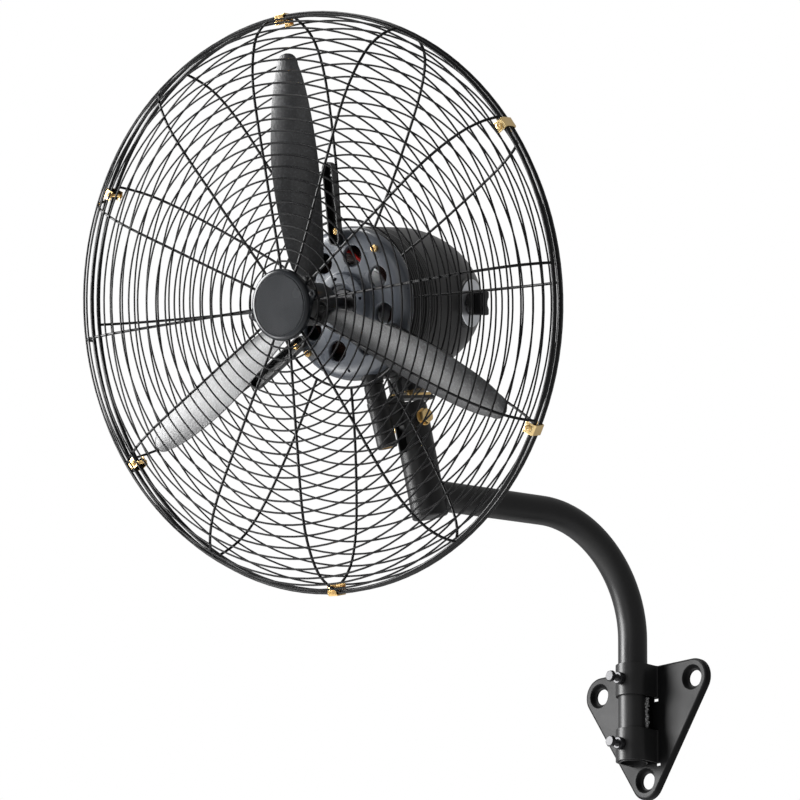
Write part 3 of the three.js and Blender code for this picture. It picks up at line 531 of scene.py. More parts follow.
def make_plate():
    rim = [(0, 0.0), (0, 5.0), (-0.3, 6.6), (-1.1, 7.9), (-2.4, 8.7), (-4.0, PLATE_T)]
    under = [(-SHEET, -1), (-SHEET, 4.4), (-SHEET - 1.2, 5.9), (-SHEET - 3, PLATE_T - SHEET)]
    face, room = (loft([[(x, z, height) for x, z in plate_outline(CORNER_R + shrink)]
                        for shrink, height in layers]) for layers in (rim, under))
    cup = [(0, -2), (14.4, -2), (15, 1.5), (19.4, PLATE_T - SHEET - 0.6), (24, PLATE_T), (0, PLATE_T)]
    cups = [moved(lathe(cup, 48), shift(x, z, 0)) for x, z in HOLES]
    dimple = [(0, -1), (10.4, -1), (10.4, 1.4), (10.9, 2.2), (12.6, 2.7), (13.6, 3.6), (14.8, 6.2),
              (15.6, 7.9), (16.4, 8.7), (17.6, 9.05), (18.5, 12), (0, 12)]
    holes = [moved(lathe(dimple, 56), shift(x, z, 0)) for x, z in HOLES]
    slots = [block(x0, x1, z0, z1, -1, 12) for x0, x1, z0, z1 in FOOT_SLOTS]
    return moved(cut(face, cut(room, *cups), *holes, *slots), FORWARD)


# painted shade: the plate gets a darker copy of the black paint
plate = settle("wall_plate_pressed", make_plate(), WALL, "bracket", "shaded_plate_paint", "wall_plate", smooth=28)
print("plate faces", len(plate.data.polygons))

# %% Straps, saddle and clamps
STRAPS = (("upper", 57), ("lower", -28))
STRAP_H, STRAP_T, STRAP_IN = 42, 3, tube_d / 2 + 0.3
FOOT_Y = -9.3       # where the straps stand on the plate
CLAMP_D, CLAMP_FLATS = 8, 13


def make_strap(middle):
    outer = STRAP_IN + STRAP_T
    outline = ([(outer + 2.2, FOOT_Y), (outer + 0.5, -12)] + arc(0, -leg_standoff, outer, 0, -180, 40)
               + [(-outer - 0.5, -12), (-outer - 2.2, FOOT_Y), (-STRAP_IN, FOOT_Y)]
               + arc(0, -leg_standoff, STRAP_IN, -180, 0, 40) + [(STRAP_IN, FOOT_Y)])
    band = soften(prism(outline, middle - STRAP_H / 2, middle + STRAP_H / 2), 0.7, 2, angle=50)
    bore = moved(rod(CLAMP_D + 0.6, 0, 80), FORWARD, shift(0, -leg_standoff, middle))
    return cut(band, bore)


def threads(diameter, low, high, pitch=1.25):
    turns = int((high - low) / pitch)
    profile = [(0, low)]
    for i in range(turns):
        profile += [(diameter / 2 - 0.55, low + i * pitch), (diameter / 2, low + (i + 0.5) * pitch)]
    return lathe(profile + [(diameter / 2 - 0.55, high), (0, high)], 24)


def make_head(flats, low, high):
    r = flats / 2 / math.cos(math.radians(30))
    dome = lathe([(0, low - 0.01), (flats / 2 + 0.3, low - 0.01), (r + 0.2, low + 1.0), (r + 0.2, high - 1.4),
                  (flats / 2 - 0.6, high), (0, high)], 48)
    return soften(common(hexagon(flats, low, high), dome), 0.25, 1)


clamp_face = leg_standoff + STRAP_IN + STRAP_T + 0.3
for place, middle in STRAPS:
    settle(f"strap_{place}_bent", make_strap(middle), WALL, "bracket", "black_paint", f"strap_{place}")
    nut = lathe([(4.3, 0), (7.2, 0), (8, 0.8), (8, 5.6), (7.0, 7), (4.9, 7), (4.3, 6.4)], 32, closed=True)
    settle(f"clamp_nut_{place}_turned", nut, shift(0, -clamp_face, middle) @ FORWARD, "bracket",
           "black_zinc", f"clamp_nut_{place}")
    bolt = gather(threads(CLAMP_D, leg_standoff + STRAP_IN, clamp_face + 16.4),
                  make_head(CLAMP_FLATS, clamp_face + 16, clamp_face + 21.5))
    settle(f"clamp_bolt_{place}_cut", bolt, shift(0, 0, middle) @ FORWARD, "bracket", "black_zinc",
           f"clamp_bolt_{place}")

saddle_low, saddle_high = STRAPS[1][1] + 22, STRAPS[0][1] - 22
saddle = cut(soften(block(-13, 13, -leg_standoff, FOOT_Y, saddle_low, saddle_high), 0.8),
             rod(tube_d + 0.6, saddle_low - 2, saddle_high + 2, 64, edge=0.1))
settle("tube_saddle_bent", saddle, WALL, "bracket", "black_paint", "tube_saddle")
print("straps at", [z for _, z in STRAPS])


# %% Weld at the saddle
def weld_bead(place, low, high, seed=7):
    """A run of rough lumps, each a little off the line and laid over the one before."""
    chance = random.Random(seed)
    lumps = []
    z = low + 2
    while z < high - 2:
        size = chance.uniform(4.4, 7.4)
        lump = bmesh.new()
        bmesh.ops.create_icosphere(lump, subdivisions=2, radius=size / 2)
        for vert in lump.verts:
            vert.co *= 1 + chance.uniform(-0.16, 0.16)
        off = (place[0] + chance.uniform(-0.7, 0.7), place[1] + chance.uniform(-0.7, 0.7), z)
        lumps.append(moved(lump, Matrix.Diagonal((1, 1, 0.8, 1)), shift(*off)))
        z += chance.uniform(1.6, 3.4)
    return gather(*lumps)


WELD_PLACE = (18.5, -25.0)
settle("saddle_weld", weld_bead(WELD_PLACE, saddle_low, saddle_high), WALL, "bracket", "bare_weld",
       smooth=70)
print("weld from", saddle_low, "to", saddle_high)

# %% [markdown]
# ## Arm
# The arm is one tube, bent cold a little past a right angle, and coped where it meets the post. A
# curve with a bevel would give the tube, but not its bore: so two sweeps along one path are made, and
# one is cut from the other. The post is a heavier bar: a slot is cut in its top for the lug, and the
# two ears are rounded.

# %% Arm tube
def arm_path(steps=40):
    path = [(0, leg_bottom), (0, 0), (0, leg_top)]
    for i in range(1, steps + 1):
        a = math.radians(bend_angle * i / steps)
        path.append((-bend_r * (1 - math.cos(a)), leg_top + bend_r * math.sin(a)))
    path.append((-arm_reach, joint_z))
    return [Vector((0, y, z)) for y, z in path]


def sweep(path, radius, sides):
    """A round bar along a path. Its first three sections stay square to the straight start."""
    rows = []
    for i, point in enumerate(path):
        ahead = path[min(i + 1, len(path) - 1)] - path[max(i - 1, 0)]
        if i < 3:
            ahead = path[1] - path[0]
        up = ahead.normalized().cross(Vector((1, 0, 0))).normalized()
        side = up.cross(ahead.normalized())
        rows.append([point + side * math.cos(a) * radius + up * math.sin(a) * radius
                     for a in (k * math.tau / sides for k in range(sides))])
    return loft(rows)


def make_arm():
    path = arm_path()
    lower = path[0] - Vector((0, 0, 1))
    bore = sweep([lower] + path[1:], tube_d / 2 - tube_wall, 48)
    cope = moved(rod(post_d + 0.6, -90, post_to_tilt, 64, edge=0.1),
                 shift(0, -arm_reach, joint_z) @ turn(post_lean, 'X'))
    return soften(cut(sweep(path, tube_d / 2, 64), bore, cope), 0.4, 1, angle=50)


settle("arm_tube_bent", make_arm(), ARM, "arm", "black_paint", "arm_tube", smooth=30)
print("arm meets the post at", round(joint_z, 1))

# %% Post with its fork
SLOT_W, SLOT_FLOOR = 16, post_to_tilt + post_d / 2 - 62
TILT_D, TILT_BORE, TILT_FLATS = 10, 10.6, 17


def make_post():
    r = post_d / 2
    body = lathe([(0, -post_below), (r - 1.5, -post_below), (r, -post_below + 1.5), (r, post_to_tilt + r),
                  (0, post_to_tilt + r)], 96)
    side = ([(-r - 1, -post_below - 1), (r + 1, -post_below - 1), (r + 1, post_to_tilt)]
            + arc(0, post_to_tilt, r, 0, 180, 40) + [(-r - 1, post_to_tilt)])
    ears = moved(prism(side, -r - 1, r + 1), turn(90, 'X'), turn(90, 'Z'))
    slot = moved(prism([(-SLOT_W / 2, 200), (-SLOT_W / 2, SLOT_FLOOR + 3), (-SLOT_W / 2 + 3, SLOT_FLOOR),
                        (SLOT_W / 2 - 3, SLOT_FLOOR), (SLOT_W / 2, SLOT_FLOOR + 3), (SLOT_W / 2, 200)],
                       -40, 40), turn(90, 'X'))
    bore = moved(rod(TILT_BORE, -40, 40), SIDEWAYS, shift(0, 0, post_to_tilt))
    return soften(cut(common(body, ears), slot, bore), 0.6, 2, angle=40)


settle("post_fork_milled", make_post(), POST, "arm", "black_paint", "post_fork")

TILT = POST @ shift(0, 0, post_to_tilt) @ SIDEWAYS
r_post = post_d / 2
bolt = gather(threads(TILT_D, -r_post - 12, -r_post + 2, 1.5), rod(TILT_D, -r_post + 1, r_post + 3.6),
              make_head(TILT_FLATS, r_post + 2.6, r_post + 9.6))
settle("tilt_bolt_cut", bolt, TILT, "arm", "yellow_zinc", "tilt_bolt")
settle("tilt_washer_pressed", tube(22, TILT_BORE, r_post + 0.3, r_post + 2.3, 40), TILT, "arm", "yellow_zinc",
       "tilt_washer")
nut = cut(make_head(TILT_FLATS, -r_post - 8.3, -r_post - 0.3), rod(TILT_BORE, -60, 0, 24))
settle("tilt_nut_cut", nut, TILT, "arm", "yellow_zinc", "tilt_nut")
print("post", post_d, "slot", SLOT_W)

# %% [markdown]
# ## Tilting lug and swing link
# The lug is a casting: an eye for the tilt bolt, a web, and a tube for the swing pin. Sculpting would
# suit its rounded foundry look, but its bores have to fit their pins, so it is joined from plain
# shapes. Its flat top carries the anchor screw of the link. The link and the crank turn the head from
# side to side.

# %% Lug and its anchor screw
FLANGE_LOW, FLANGE_TOP, FLANGE_HALF = 24, 29, 12
EYE_D, PIN_TUBE_D, PIN_TUBE_BORE, PIN_TUBE_TOP, COLLAR_D = 36, 25, 16, 50, 27
ANCHOR_Y = -pivot_offset + 28


def make_lug():
    half = SLOT_W / 2 - 0.3
    eye = moved(rod(EYE_D, -half, half, 64, edge=0.1), SIDEWAYS)
    web = block(-half, half, -pivot_offset, 0, -4, FLANGE_LOW)
    pin_tube = moved(rod(PIN_TUBE_D, -30, PIN_TUBE_TOP, 64, edge=1.0), shift(0, -pivot_offset, 0))
    collar = moved(rod(COLLAR_D, 17, FLANGE_TOP, 64, edge=1.0), shift(0, -pivot_offset, 0))
    top = ([(-FLANGE_HALF, -pivot_offset), (-FLANGE_HALF, ANCHOR_Y)]
           + arc(0, ANCHOR_Y, FLANGE_HALF, 180, 0, 20) + [(FLANGE_HALF, -pivot_offset)])
    flange = prism(top, FLANGE_LOW, FLANGE_TOP)
    bores = (moved(rod(TILT_BORE, -half - 2, half + 2), SIDEWAYS),
             moved(rod(PIN_TUBE_BORE, -40, 60, 48), shift(0, -pivot_offset, 0)),
             moved(rod(5, 14, 40, 24), shift(0, ANCHOR_Y, 0)))
    return soften(cut(join(eye, web, pin_tube, collar, flange), *bores), 0.7, 2, angle=40)


settle("tilt_lug_cast", make_lug(), YOKE, "yoke", "black_paint", "tilt_lug")
head = cut(lathe([(0, 33.6), (5.5, 33.6), (5.5, 35.4), (4.6, 36.4), (0, 36.6)], 32),
           block(-0.6, 0.6, -6, 6, 35.6, 40))
screw = gather(threads(4.4, 17, 30, 0.8), soften(head, 0.15, 1), rod(4.4, 29, 34, 20))
settle("anchor_screw_cut", screw, YOKE @ shift(0, ANCHOR_Y, 0), "yoke", "yellow_zinc", "anchor_screw")
print("anchor screw", round(-ANCHOR_Y), "mm ahead of the tilt bolt")

# %% Swing link and crank
LINK_LONG, LINK_WIDE, LINK_T, CRANK_LONG = 74, 16, 4, 28


def slot_outline(length, width, steps=16):
    return arc(0, length, width / 2, 0, 180, steps) + arc(0, 0, width / 2, 180, 360, steps)


link = cut(prism(slot_outline(LINK_LONG, LINK_WIDE), 0, LINK_T), rod(5.6, -2, 6, 24),
           moved(rod(7, -2, 6, 24), shift(0, LINK_LONG, 0)))
link_place = YOKE @ shift(0, ANCHOR_Y, FLANGE_TOP + 0.3) @ turn(head_swing_seen, 'Z')
settle("swing_link_pressed", soften(link, 0.5), link_place, "link", "black_paint", "swing_link")

arm = prism(arc(0, CRANK_LONG, 7, 20, 160, 12) + arc(0, 0, 11, 160, 380, 24), 0, LINK_T)
crank = gather(soften(arm, 0.5), moved(rod(5, -4.6, 1, 24), shift(0, CRANK_LONG, 0)), rod(8, 1, 15, 24))
crank_x, crank_y = on_circle(LINK_LONG, 90 + head_swing_seen, 0, -pivot_offset)
settle("crank_pressed", crank, YOKE @ shift(crank_x, crank_y, 33.6), "crank", "yellow_zinc", "crank_arm")
print("link", LINK_LONG, "crank", CRANK_LONG)

# %% [markdown]
# ## Motor
# The front bracket is a round casting: a flat face with round cooling windows, a raised boss around
# the bearing, and a rim that fits the can. The can has shallow turned ribs near its front, and the
# rear cover is a spun dome with an oval pad for the control knob. All three could be cut from one
# turned body, but the real ones come apart, and their seams show as thin dark lines.

# %% Front bracket
MOTOR_R, FACE, BRACKET_BACK, CAN_BACK = 96, -70, -110, -180.3
WINDOWS, WINDOW_RING, FIRST_WINDOW = 8, 60, 17
EAR_D, PIN_BORE = 27, 11.6      # the ear on the motor's side that holds the swing pin
# holes and screws in the face, as a radius and an angle around the fan
BRACKET_HOLES = [(83, -103), (31, 86), (31, -4), (31, -94), (31, 176)]
SCREWED = [(82, 39), (80, -38), (84, -149), (82, 142)]


def make_bracket():
    shell = lathe([(17.8, FACE - 14), (36, FACE - 14), (42, FACE - 5.5), (76, FACE - 6), (88, FACE - 13),
                   (91, FACE - 16), (94.6, FACE - 16), (95.2, FACE - 15), (94.8, FACE - 10.5),
                   (92.4, FACE - 6), (87.6, FACE - 2.4), (81, FACE - 0.5), (74, FACE),
                   (42, FACE), (39.6, FACE + 0.7), (38.6, FACE + 2.4), (37.8, FACE + 7), (36.6, FACE + 9.2),
                   (34, FACE + 10), (25.5, FACE + 10), (24, FACE + 9), (23, FACE + 3), (19, FACE + 1),
                   (17.8, FACE)], 96, closed=True)
    window = [(0, FACE - 30), (13, FACE - 30), (13, FACE - 1.4), (13.8, FACE - 0.3), (15, FACE + 0.6),
              (15, FACE + 5), (0, FACE + 5)]
    windows = [moved(lathe(window, 40), shift(*on_circle(WINDOW_RING, FIRST_WINDOW + i * 360 / WINDOWS), 0))
               for i in range(WINDOWS)]
    screws = [moved(rod(4.5, FACE - 20, FACE + 20, 16, edge=0.1), shift(*on_circle(r, a), 0))
              for r, a in BRACKET_HOLES]
    return cut(shell, *windows, *screws)


def make_ear():
    to_head = HEAD.inverted() @ YOKE
    ear = moved(rod(EAR_D, PIN_TUBE_TOP + 1, axis_height - MOTOR_R + 16, 48, edge=1.0),
                shift(0, -pivot_offset, 0), to_head)
    inside = moved(rod(2 * MOTOR_R - 8, BRACKET_BACK - 20, FACE - 6, 64), FORWARD)
    pin = moved(rod(PIN_BORE, 40, axis_height - MOTOR_R + 12, 32), shift(0, -pivot_offset, 0), to_head)
    return cut(ear, inside, pin)


# the face is partly painted sheen: lighter than its black side because it faces the light
settle("motor_bracket_cast", moved(make_bracket(), FORWARD), HEAD, "head", "face_paint_and_sheen",
       "motor_front_bracket", smooth=30)
settle("swing_pin_ear", make_ear(), HEAD, "head", "black_paint", smooth=30)
print("windows", WINDOWS)


# %% Ribbed side of the bracket and its screws
def ribbed(profile_start, first, count, pitch, radius, depth=1.3):
    profile = list(profile_start)
    for i in range(count):
        base = first - i * pitch
        profile += [(radius, base), (radius - depth, base - 0.8), (radius - depth, base - pitch * 0.36),
                    (radius, base - pitch * 0.36 - 0.8)]
    return profile


RIB_PITCH = 4.2
side = ribbed([(91, FACE - 16), (95.2, FACE - 16), (MOTOR_R, FACE - 17)], FACE - 19, 5, RIB_PITCH, MOTOR_R)
side += [(MOTOR_R, BRACKET_BACK), (92, BRACKET_BACK)]
settle("motor_bracket_side", lathe(side, 96, closed=True), HEAD @ FORWARD, "head", "black_paint",
       "motor_front_bracket", smooth=30)
for index, (radius, angle) in enumerate(SCREWED):
    socket = prism([on_circle(2.3, 60 * k) for k in range(6)], FACE + 1.6, FACE + 8)
    head = soften(cut(rod(9, FACE - 0.4, FACE + 4.4, 24, edge=0.6), socket), 0.1, 1)
    settle(f"bracket_screw_{index + 1}", head, HEAD @ FORWARD @ shift(*on_circle(radius, angle), -0.8),
           "head", "yellow_zinc")
print("bracket screws", len(SCREWED))

# %% Can, rear cover and the pad of the knob
KNOB_PAD_D, KNOB_PAD_TALL, KNOB_PAD_R = 50, 62, 97
OVAL = Matrix.Diagonal((1, KNOB_PAD_TALL / KNOB_PAD_D, 1, 1))
# stands a shape that was turned about Z on the motor's side
KNOB_PLACE = shift(0, 0, -207) @ turn(-17, 'Z') @ turn(90, 'Y')


def make_can():
    profile = ribbed([(93.5, BRACKET_BACK - 0.3), (MOTOR_R, BRACKET_BACK - 0.3)], BRACKET_BACK - 3, 4,
                     RIB_PITCH, MOTOR_R)
    profile += [(MOTOR_R, CAN_BACK), (93.5, CAN_BACK)]
    seat = [(18, CAN_BACK + 0.5), (95, CAN_BACK + 0.5), (95, CAN_BACK + 5.5), (22, CAN_BACK + 5.5),
            (22, CAN_BACK + 14), (18, CAN_BACK + 14)]
    return gather(lathe(profile, 96, closed=True), lathe(seat, 64, closed=True))


settle("motor_can_turned", make_can(), HEAD @ FORWARD, "head", "shell_paint", "motor_can", smooth=30)


# the dome is a rounder ellipse: depth, radius of its flat tip, and how far it bulges
DOME_DEPTH, TIP_R, BULGE, DOME_STEPS = 132, 18, 1.15, 28
COVER_T, LIP_TALL = 2.5, 3.4


def make_cover():
    front = CAN_BACK - 0.3
    tip = front - LIP_TALL - DOME_DEPTH
    skin = [(95.4, front), (MOTOR_R, front - 0.8), (MOTOR_R, front - LIP_TALL)]
    for i in range(1, DOME_STEPS + 1):
        a = math.radians(90 * i / DOME_STEPS)
        skin.append((TIP_R + (MOTOR_R - TIP_R) * max(math.cos(a), 0) ** BULGE,
                     front - LIP_TALL - DOME_DEPTH * math.sin(a) ** BULGE))
    skin += [(8, tip), (0, tip)]
    lining = [(max(r - COVER_T, 0), z + (0 if r > 60 else COVER_T)) for r, z in reversed(skin[3:-1])]
    shape = lathe(skin + [(0, tip + COVER_T)] + lining + [(93, front)], 96)
    pad = moved(rod(KNOB_PAD_D, 84, KNOB_PAD_R, 64, edge=1.2), OVAL, KNOB_PLACE)
    return join(shape, pad)


settle("motor_cover_spun", make_cover(), HEAD @ FORWARD, "head", "shell_paint", "motor_rear_cover")
print("can and cover ready")

# %% [markdown]
# ## Winding and its lead
# Through the windows one sees the front winding, and a lead in a red sleeve crosses one window. A
# smooth ring would do from a distance. Up close the winding is a bundle of wires, so it is made of
# loops laid around the core's end, each a little off the next.

# %% Front winding, wound as loops of round wire
def wire_bundle(middle, count=26, seed=4):
    """Loops of enamelled wire laid around the core's end, a little uneven from loop to loop."""
    chance = random.Random(seed)
    shape = None
    for i in range(count):
        a = i * math.tau / count
        ring_r, ring_h = 61 + 9.0 * math.cos(a * 7), middle + 9.0 * math.sin(a * 7)
        wobble = [chance.uniform(-0.5, 0.5) for _ in range(12)]
        rows = []
        for k in range(48):
            turn_angle = k * math.tau / 48
            r = ring_r + wobble[k % 12]
            h = ring_h + wobble[(k + 5) % 12]
            centre = Vector((r * math.cos(turn_angle), r * math.sin(turn_angle), h))
            out = Vector((math.cos(turn_angle), math.sin(turn_angle), 0))
            rows.append([centre + out * 1.6 * math.cos(q) + Vector((0, 0, 1)) * 1.6 * math.sin(q)
                         for q in (n * math.tau / 6 for n in range(6))])
        loop = loft(rows + [rows[0]], closed_ends=False)
        bmesh.ops.remove_doubles(loop, verts=loop.verts, dist=0.001)
        shape = loop if shape is None else gather(shape, loop)
    return shape


WINDING_MIDDLE = -100.7
# painted shade: its wire is painted nearly black, since the inside of the motor lies in shade
settle("winding_front_wound", wire_bundle(WINDING_MIDDLE), HEAD @ FORWARD, "head", "winding_wire",
       "winding_front")
print("winding around", WINDING_MIDDLE)

# %% Sleeved lead across one window
# radius, angle and height of its bends
LEAD = [(66, 82, -87), (64, 75, -86), (61.5, 69, -82.5), (58.6, 63, -80), (55.5, 57, -82.5), (52, 50, -86),
        (49, 43, -87)]
lead = [Vector((*on_circle(r, angle), height)) for r, angle, height in LEAD]
settle("window_lead", sweep(lead, 2.1, 12), HEAD @ FORWARD, "head", "red_sleeve", smooth=60)
print("lead bends", len(LEAD))

# %% [markdown]
# ## Wire guard
# Both halves of the guard are the same idea: wire rings welded across bent radial wires. A loop in
# Python could place every wire, but a node tree can be tried out in the interface with other counts
# and sizes. It makes all the wires from one drawn line. The line is resampled into the ring radii, a
# circle is instanced at each of them, and the line itself is instanced around the axis for the radials.

# %% Node tree for the guard
def make_guard_tree():
    tree = bpy.data.node_groups.new("guard wires", 'GeometryNodeTree')
    face = tree.interface
    face.new_socket(name="Line", in_out='INPUT', socket_type='NodeSocketGeometry')
    for label, kind, value in (("Rings", 'NodeSocketInt', 20), ("Facets", 'NodeSocketInt', 120),
                               ("Ring wire", 'NodeSocketFloat', 0.0024),
                               ("Radials", 'NodeSocketInt', 12), ("Radial steps", 'NodeSocketInt', 30),
                               ("Radial wire", 'NodeSocketFloat', 0.0034),
                               ("First radial", 'NodeSocketFloat', 0.0),
                               ("Ring lift", 'NodeSocketFloat', 0.002),
                               ("Inner wire", 'NodeSocketFloat', 0.0034),
                               ("Rim wire", 'NodeSocketFloat', 0.0052),
                               ("Finish", 'NodeSocketMaterial', None)):
        socket = face.new_socket(name=label, in_out='INPUT', socket_type=kind)
        if value is not None:
            socket.default_value = value
    face.new_socket(name="Wires", in_out='OUTPUT', socket_type='NodeSocketGeometry')
    given, out = tree.nodes.new('NodeGroupInput'), tree.nodes.new('NodeGroupOutput')
    get = given.outputs

    def math_node(operation, a, b):
        return add(tree, 'ShaderNodeMath', {0: a, 1: b}, operation=operation).outputs[0]

    def wires(curve, diameter, sides):
        circle = add(tree, 'GeometryNodeCurvePrimitiveCircle', {'Resolution': sides})
        tree.links.new(math_node('MULTIPLY', diameter, 0.5), circle.inputs['Radius'])
        even = add(tree, 'GeometryNodeSetCurveRadius', {'Curve': curve, 'Radius': 1.0})
        return add(tree, 'GeometryNodeCurveToMesh', {'Curve': even.outputs[0],
                                                     'Profile Curve': circle.outputs['Curve'],
                                                     'Fill Caps': True}).outputs[0]

    # rings
    count = math_node('ADD', get['Rings'], 1.0)
    stations = add(tree, 'GeometryNodeResampleCurve', {'Curve': get['Line'], 'Count': count})
    points = add(tree, 'GeometryNodeCurveToPoints', {'Curve': stations.outputs[0]}, mode='EVALUATED')
    place = add(tree, 'GeometryNodeInputPosition').outputs[0]
    parts = add(tree, 'ShaderNodeSeparateXYZ', {'Vector': place})
    radius = add(tree, 'GeometryNodeCaptureAttribute', {'Geometry': points.outputs['Points']})
    radius.capture_items.new('FLOAT', "Radius")
    tree.links.new(parts.outputs['X'], radius.inputs['Radius'])
    index = add(tree, 'GeometryNodeInputIndex').outputs[0]
    first = math_node('LESS_THAN', index, 0.5)
    last = math_node('GREATER_THAN', index, math_node('SUBTRACT', get['Rings'], 0.5))
    lifted = math_node('ADD', parts.outputs['Z'],
                       math_node('MULTIPLY', get['Ring lift'], math_node('SUBTRACT', 1.0,
                                                                         math_node('ADD', first, last))))
    centre = add(tree, 'ShaderNodeCombineXYZ', {'Z': lifted}).outputs[0]
    axis_points = add(tree, 'GeometryNodeSetPosition', {'Geometry': radius.outputs['Geometry'],
                                                        'Position': centre})
    circle = add(tree, 'GeometryNodeCurvePrimitiveCircle', {'Resolution': get['Facets'], 'Radius': 1.0})
    size = add(tree, 'ShaderNodeCombineXYZ', {'X': radius.outputs['Radius'], 'Y': radius.outputs['Radius'],
                                              'Z': 1.0}).outputs[0]

    def rings(chosen, diameter, sides):
        placed = add(tree, 'GeometryNodeInstanceOnPoints', {
            'Points': axis_points.outputs[0], 'Selection': chosen, 'Instance': circle.outputs['Curve'],
            'Scale': size})
        loose = add(tree, 'GeometryNodeRealizeInstances', {'Geometry': placed.outputs[0]})
        return wires(loose.outputs[0], diameter, sides)

    middle = math_node('SUBTRACT', 1.0, math_node('ADD', first, last))
    fine = rings(middle, get['Ring wire'], 6)
    inner = rings(first, get['Inner wire'], 8)
    rim = rings(last, get['Rim wire'], 10)

    # radials
    bent = add(tree, 'GeometryNodeResampleCurve', {'Curve': get['Line'], 'Count': get['Radial steps']})
    spots = add(tree, 'GeometryNodePoints', {'Count': get['Radials']})
    step = math_node('DIVIDE', math.tau, get['Radials'])
    angle = math_node('ADD', get['First radial'], math_node('MULTIPLY', index, step))
    spin = add(tree, 'ShaderNodeCombineXYZ', {'Z': angle}).outputs[0]
    spokes = add(tree, 'GeometryNodeInstanceOnPoints', {'Points': spots.outputs[0],
                                                        'Instance': bent.outputs[0], 'Rotation': spin})
    loose = add(tree, 'GeometryNodeRealizeInstances', {'Geometry': spokes.outputs[0]})
    radials = wires(loose.outputs[0], get['Radial wire'], 8)

    joined = tree.nodes.new('GeometryNodeJoinGeometry')
    for part in (fine, inner, rim, radials):
        tree.links.new(part, joined.inputs[0])
    whole = add(tree, 'GeometryNodeRealizeInstances', {'Geometry': joined.outputs[0]})
    dressed = add(tree, 'GeometryNodeSetMaterial', {'Geometry': whole.outputs[0],
                                                    'Material': get['Finish']})
    tree.links.new(dressed.outputs[0], out.inputs[0])
    return tree


guard_tree = make_guard_tree()
print("guard tree nodes", len(guard_tree.nodes))

# %% Front and rear guard
def drawn_line(points, steps=160):
    """A smooth line through (radius, forward) points, timed by the root of their distances."""
    spline = []
    span = steps // (len(points) - 1)
    ends = ([tuple(2 * a - b for a, b in zip(points[0], points[1]))] + list(points)
            + [tuple(2 * a - b for a, b in zip(points[-1], points[-2]))])
    for i in range(1, len(ends) - 2):
        p0, p1, p2, p3 = (Vector(p) for p in ends[i - 1:i + 3])
        t0 = 0
        t1 = t0 + math.sqrt((p1 - p0).length)
        t2 = t1 + math.sqrt((p2 - p1).length)
        t3 = t2 + math.sqrt((p3 - p2).length)
        for k in range(span):
            t = t1 + (t2 - t1) * k / span
            a1 = p0.lerp(p1, (t - t0) / (t1 - t0))
            a2 = p1.lerp(p2, (t - t1) / (t2 - t1))
            a3 = p2.lerp(p3, (t - t2) / (t3 - t2))
            b1 = a1.lerp(a2, (t - t0) / (t2 - t0))
            b2 = a2.lerp(a3, (t - t1) / (t3 - t1))
            spline.append(b1.lerp(b2, (t - t1) / (t2 - t1)))
    return spline + [Vector(points[-1])]


def make_guard(name, node, points, settings):
    line = bpy.data.curves.new(name, 'CURVE')
    line.dimensions = '3D'
    spots = drawn_line(points)
    spline = line.splines.new('POLY')
    spline.points.add(len(spots) - 1)
    for point, (radius, forward) in zip(spline.points, spots):
        point.co = (radius * MM, 0, forward * MM, 1)
    drawing = bpy.data.objects.new(name + "_line", line)
    bpy.context.scene.collection.objects.link(drawing)
    step = drawing.modifiers.new("wires", 'NODES')
    step.node_group = guard_tree
    keys = {item.name: item.identifier for item in guard_tree.interface.items_tree
            if item.item_type == 'SOCKET' and item.in_out == 'INPUT'}
    for label, value in settings.items():
        step[keys[label]] = value
    step[keys["Finish"]] = finishes["guard_coat"]
    seen = drawing.evaluated_get(bpy.context.evaluated_depsgraph_get())
    mesh = bpy.data.meshes.new_from_object(seen)
    mesh.name = name
    bpy.data.objects.remove(drawing)
    place = HEAD @ FORWARD
    place.translation *= MM
    mesh.transform(place)
    guard = settle_mesh(name, mesh, "head", "guard_coat", node, smooth=60)
    print(name, "faces", len(guard.data.polygons))
    return guard


FRONT_LINE = [(38, 50.5), (62, 51), (160, 58), (275, 62), (322, 47), (338, 31), (345, 18),
              (guard_r, rim_half_gap)]
REAR_LINE = [(104, -71.8), (178, -71.7), (285, -60), (322, -45), (337, -30), (344.5, -17),
             (guard_r, -rim_half_gap)]
FIRST_CLIP, BESIDE_CLIP = 19.5, 1.7     # degrees: a clip, and the radials on either side of it
make_guard("front_guard_wires", "front_guard", FRONT_LINE,
           {"Rings": 24, "Ring lift": 0.0022, "First radial": math.radians(FIRST_CLIP + BESIDE_CLIP)})
make_guard("rear_guard_wires", "rear_guard", REAR_LINE,
           {"Rings": 17, "Ring lift": -0.0014, "First radial": math.radians(FIRST_CLIP - BESIDE_CLIP)})

# %% [markdown]
# ## Clips, strips and badge
# Six pressed zinc clips pinch the two rims together. Three folded channels tie the rear guard to the
# motor. The badge is a plain disc on the inner ring, with two ears for its screws. The clips and the
# channels repeat around the axis, so one of each is drawn on the X axis and a loop turns it in place.

# %% Rim clips
CLIPS, CLIP_SCREW_R, CLIP_HALF = 6, 344.4, 6.5


def clip_shape():
    inside, sheet, back_r = 8.7, 1.6, 352.3
    outer_r, lip = back_r + sheet, 340
    profile = [(lip, inside), (back_r - 1, inside), (back_r, inside - 1), (back_r, 1 - inside),
               (back_r - 1, -inside), (lip, -inside), (lip, -inside - sheet), (outer_r - 2, -inside - sheet),
               (outer_r, -inside - sheet + 2), (outer_r, inside + sheet - 2), (outer_r - 2, inside + sheet),
               (lip, inside + sheet)]
    sheet_bent = moved(prism(profile, -CLIP_HALF, CLIP_HALF), FORWARD)
    bore = moved(rod(4.6, -30, 30, 24, edge=0.1), shift(CLIP_SCREW_R, 0, 0))
    return soften(cut(sheet_bent, bore), 0.4, 2, angle=50)


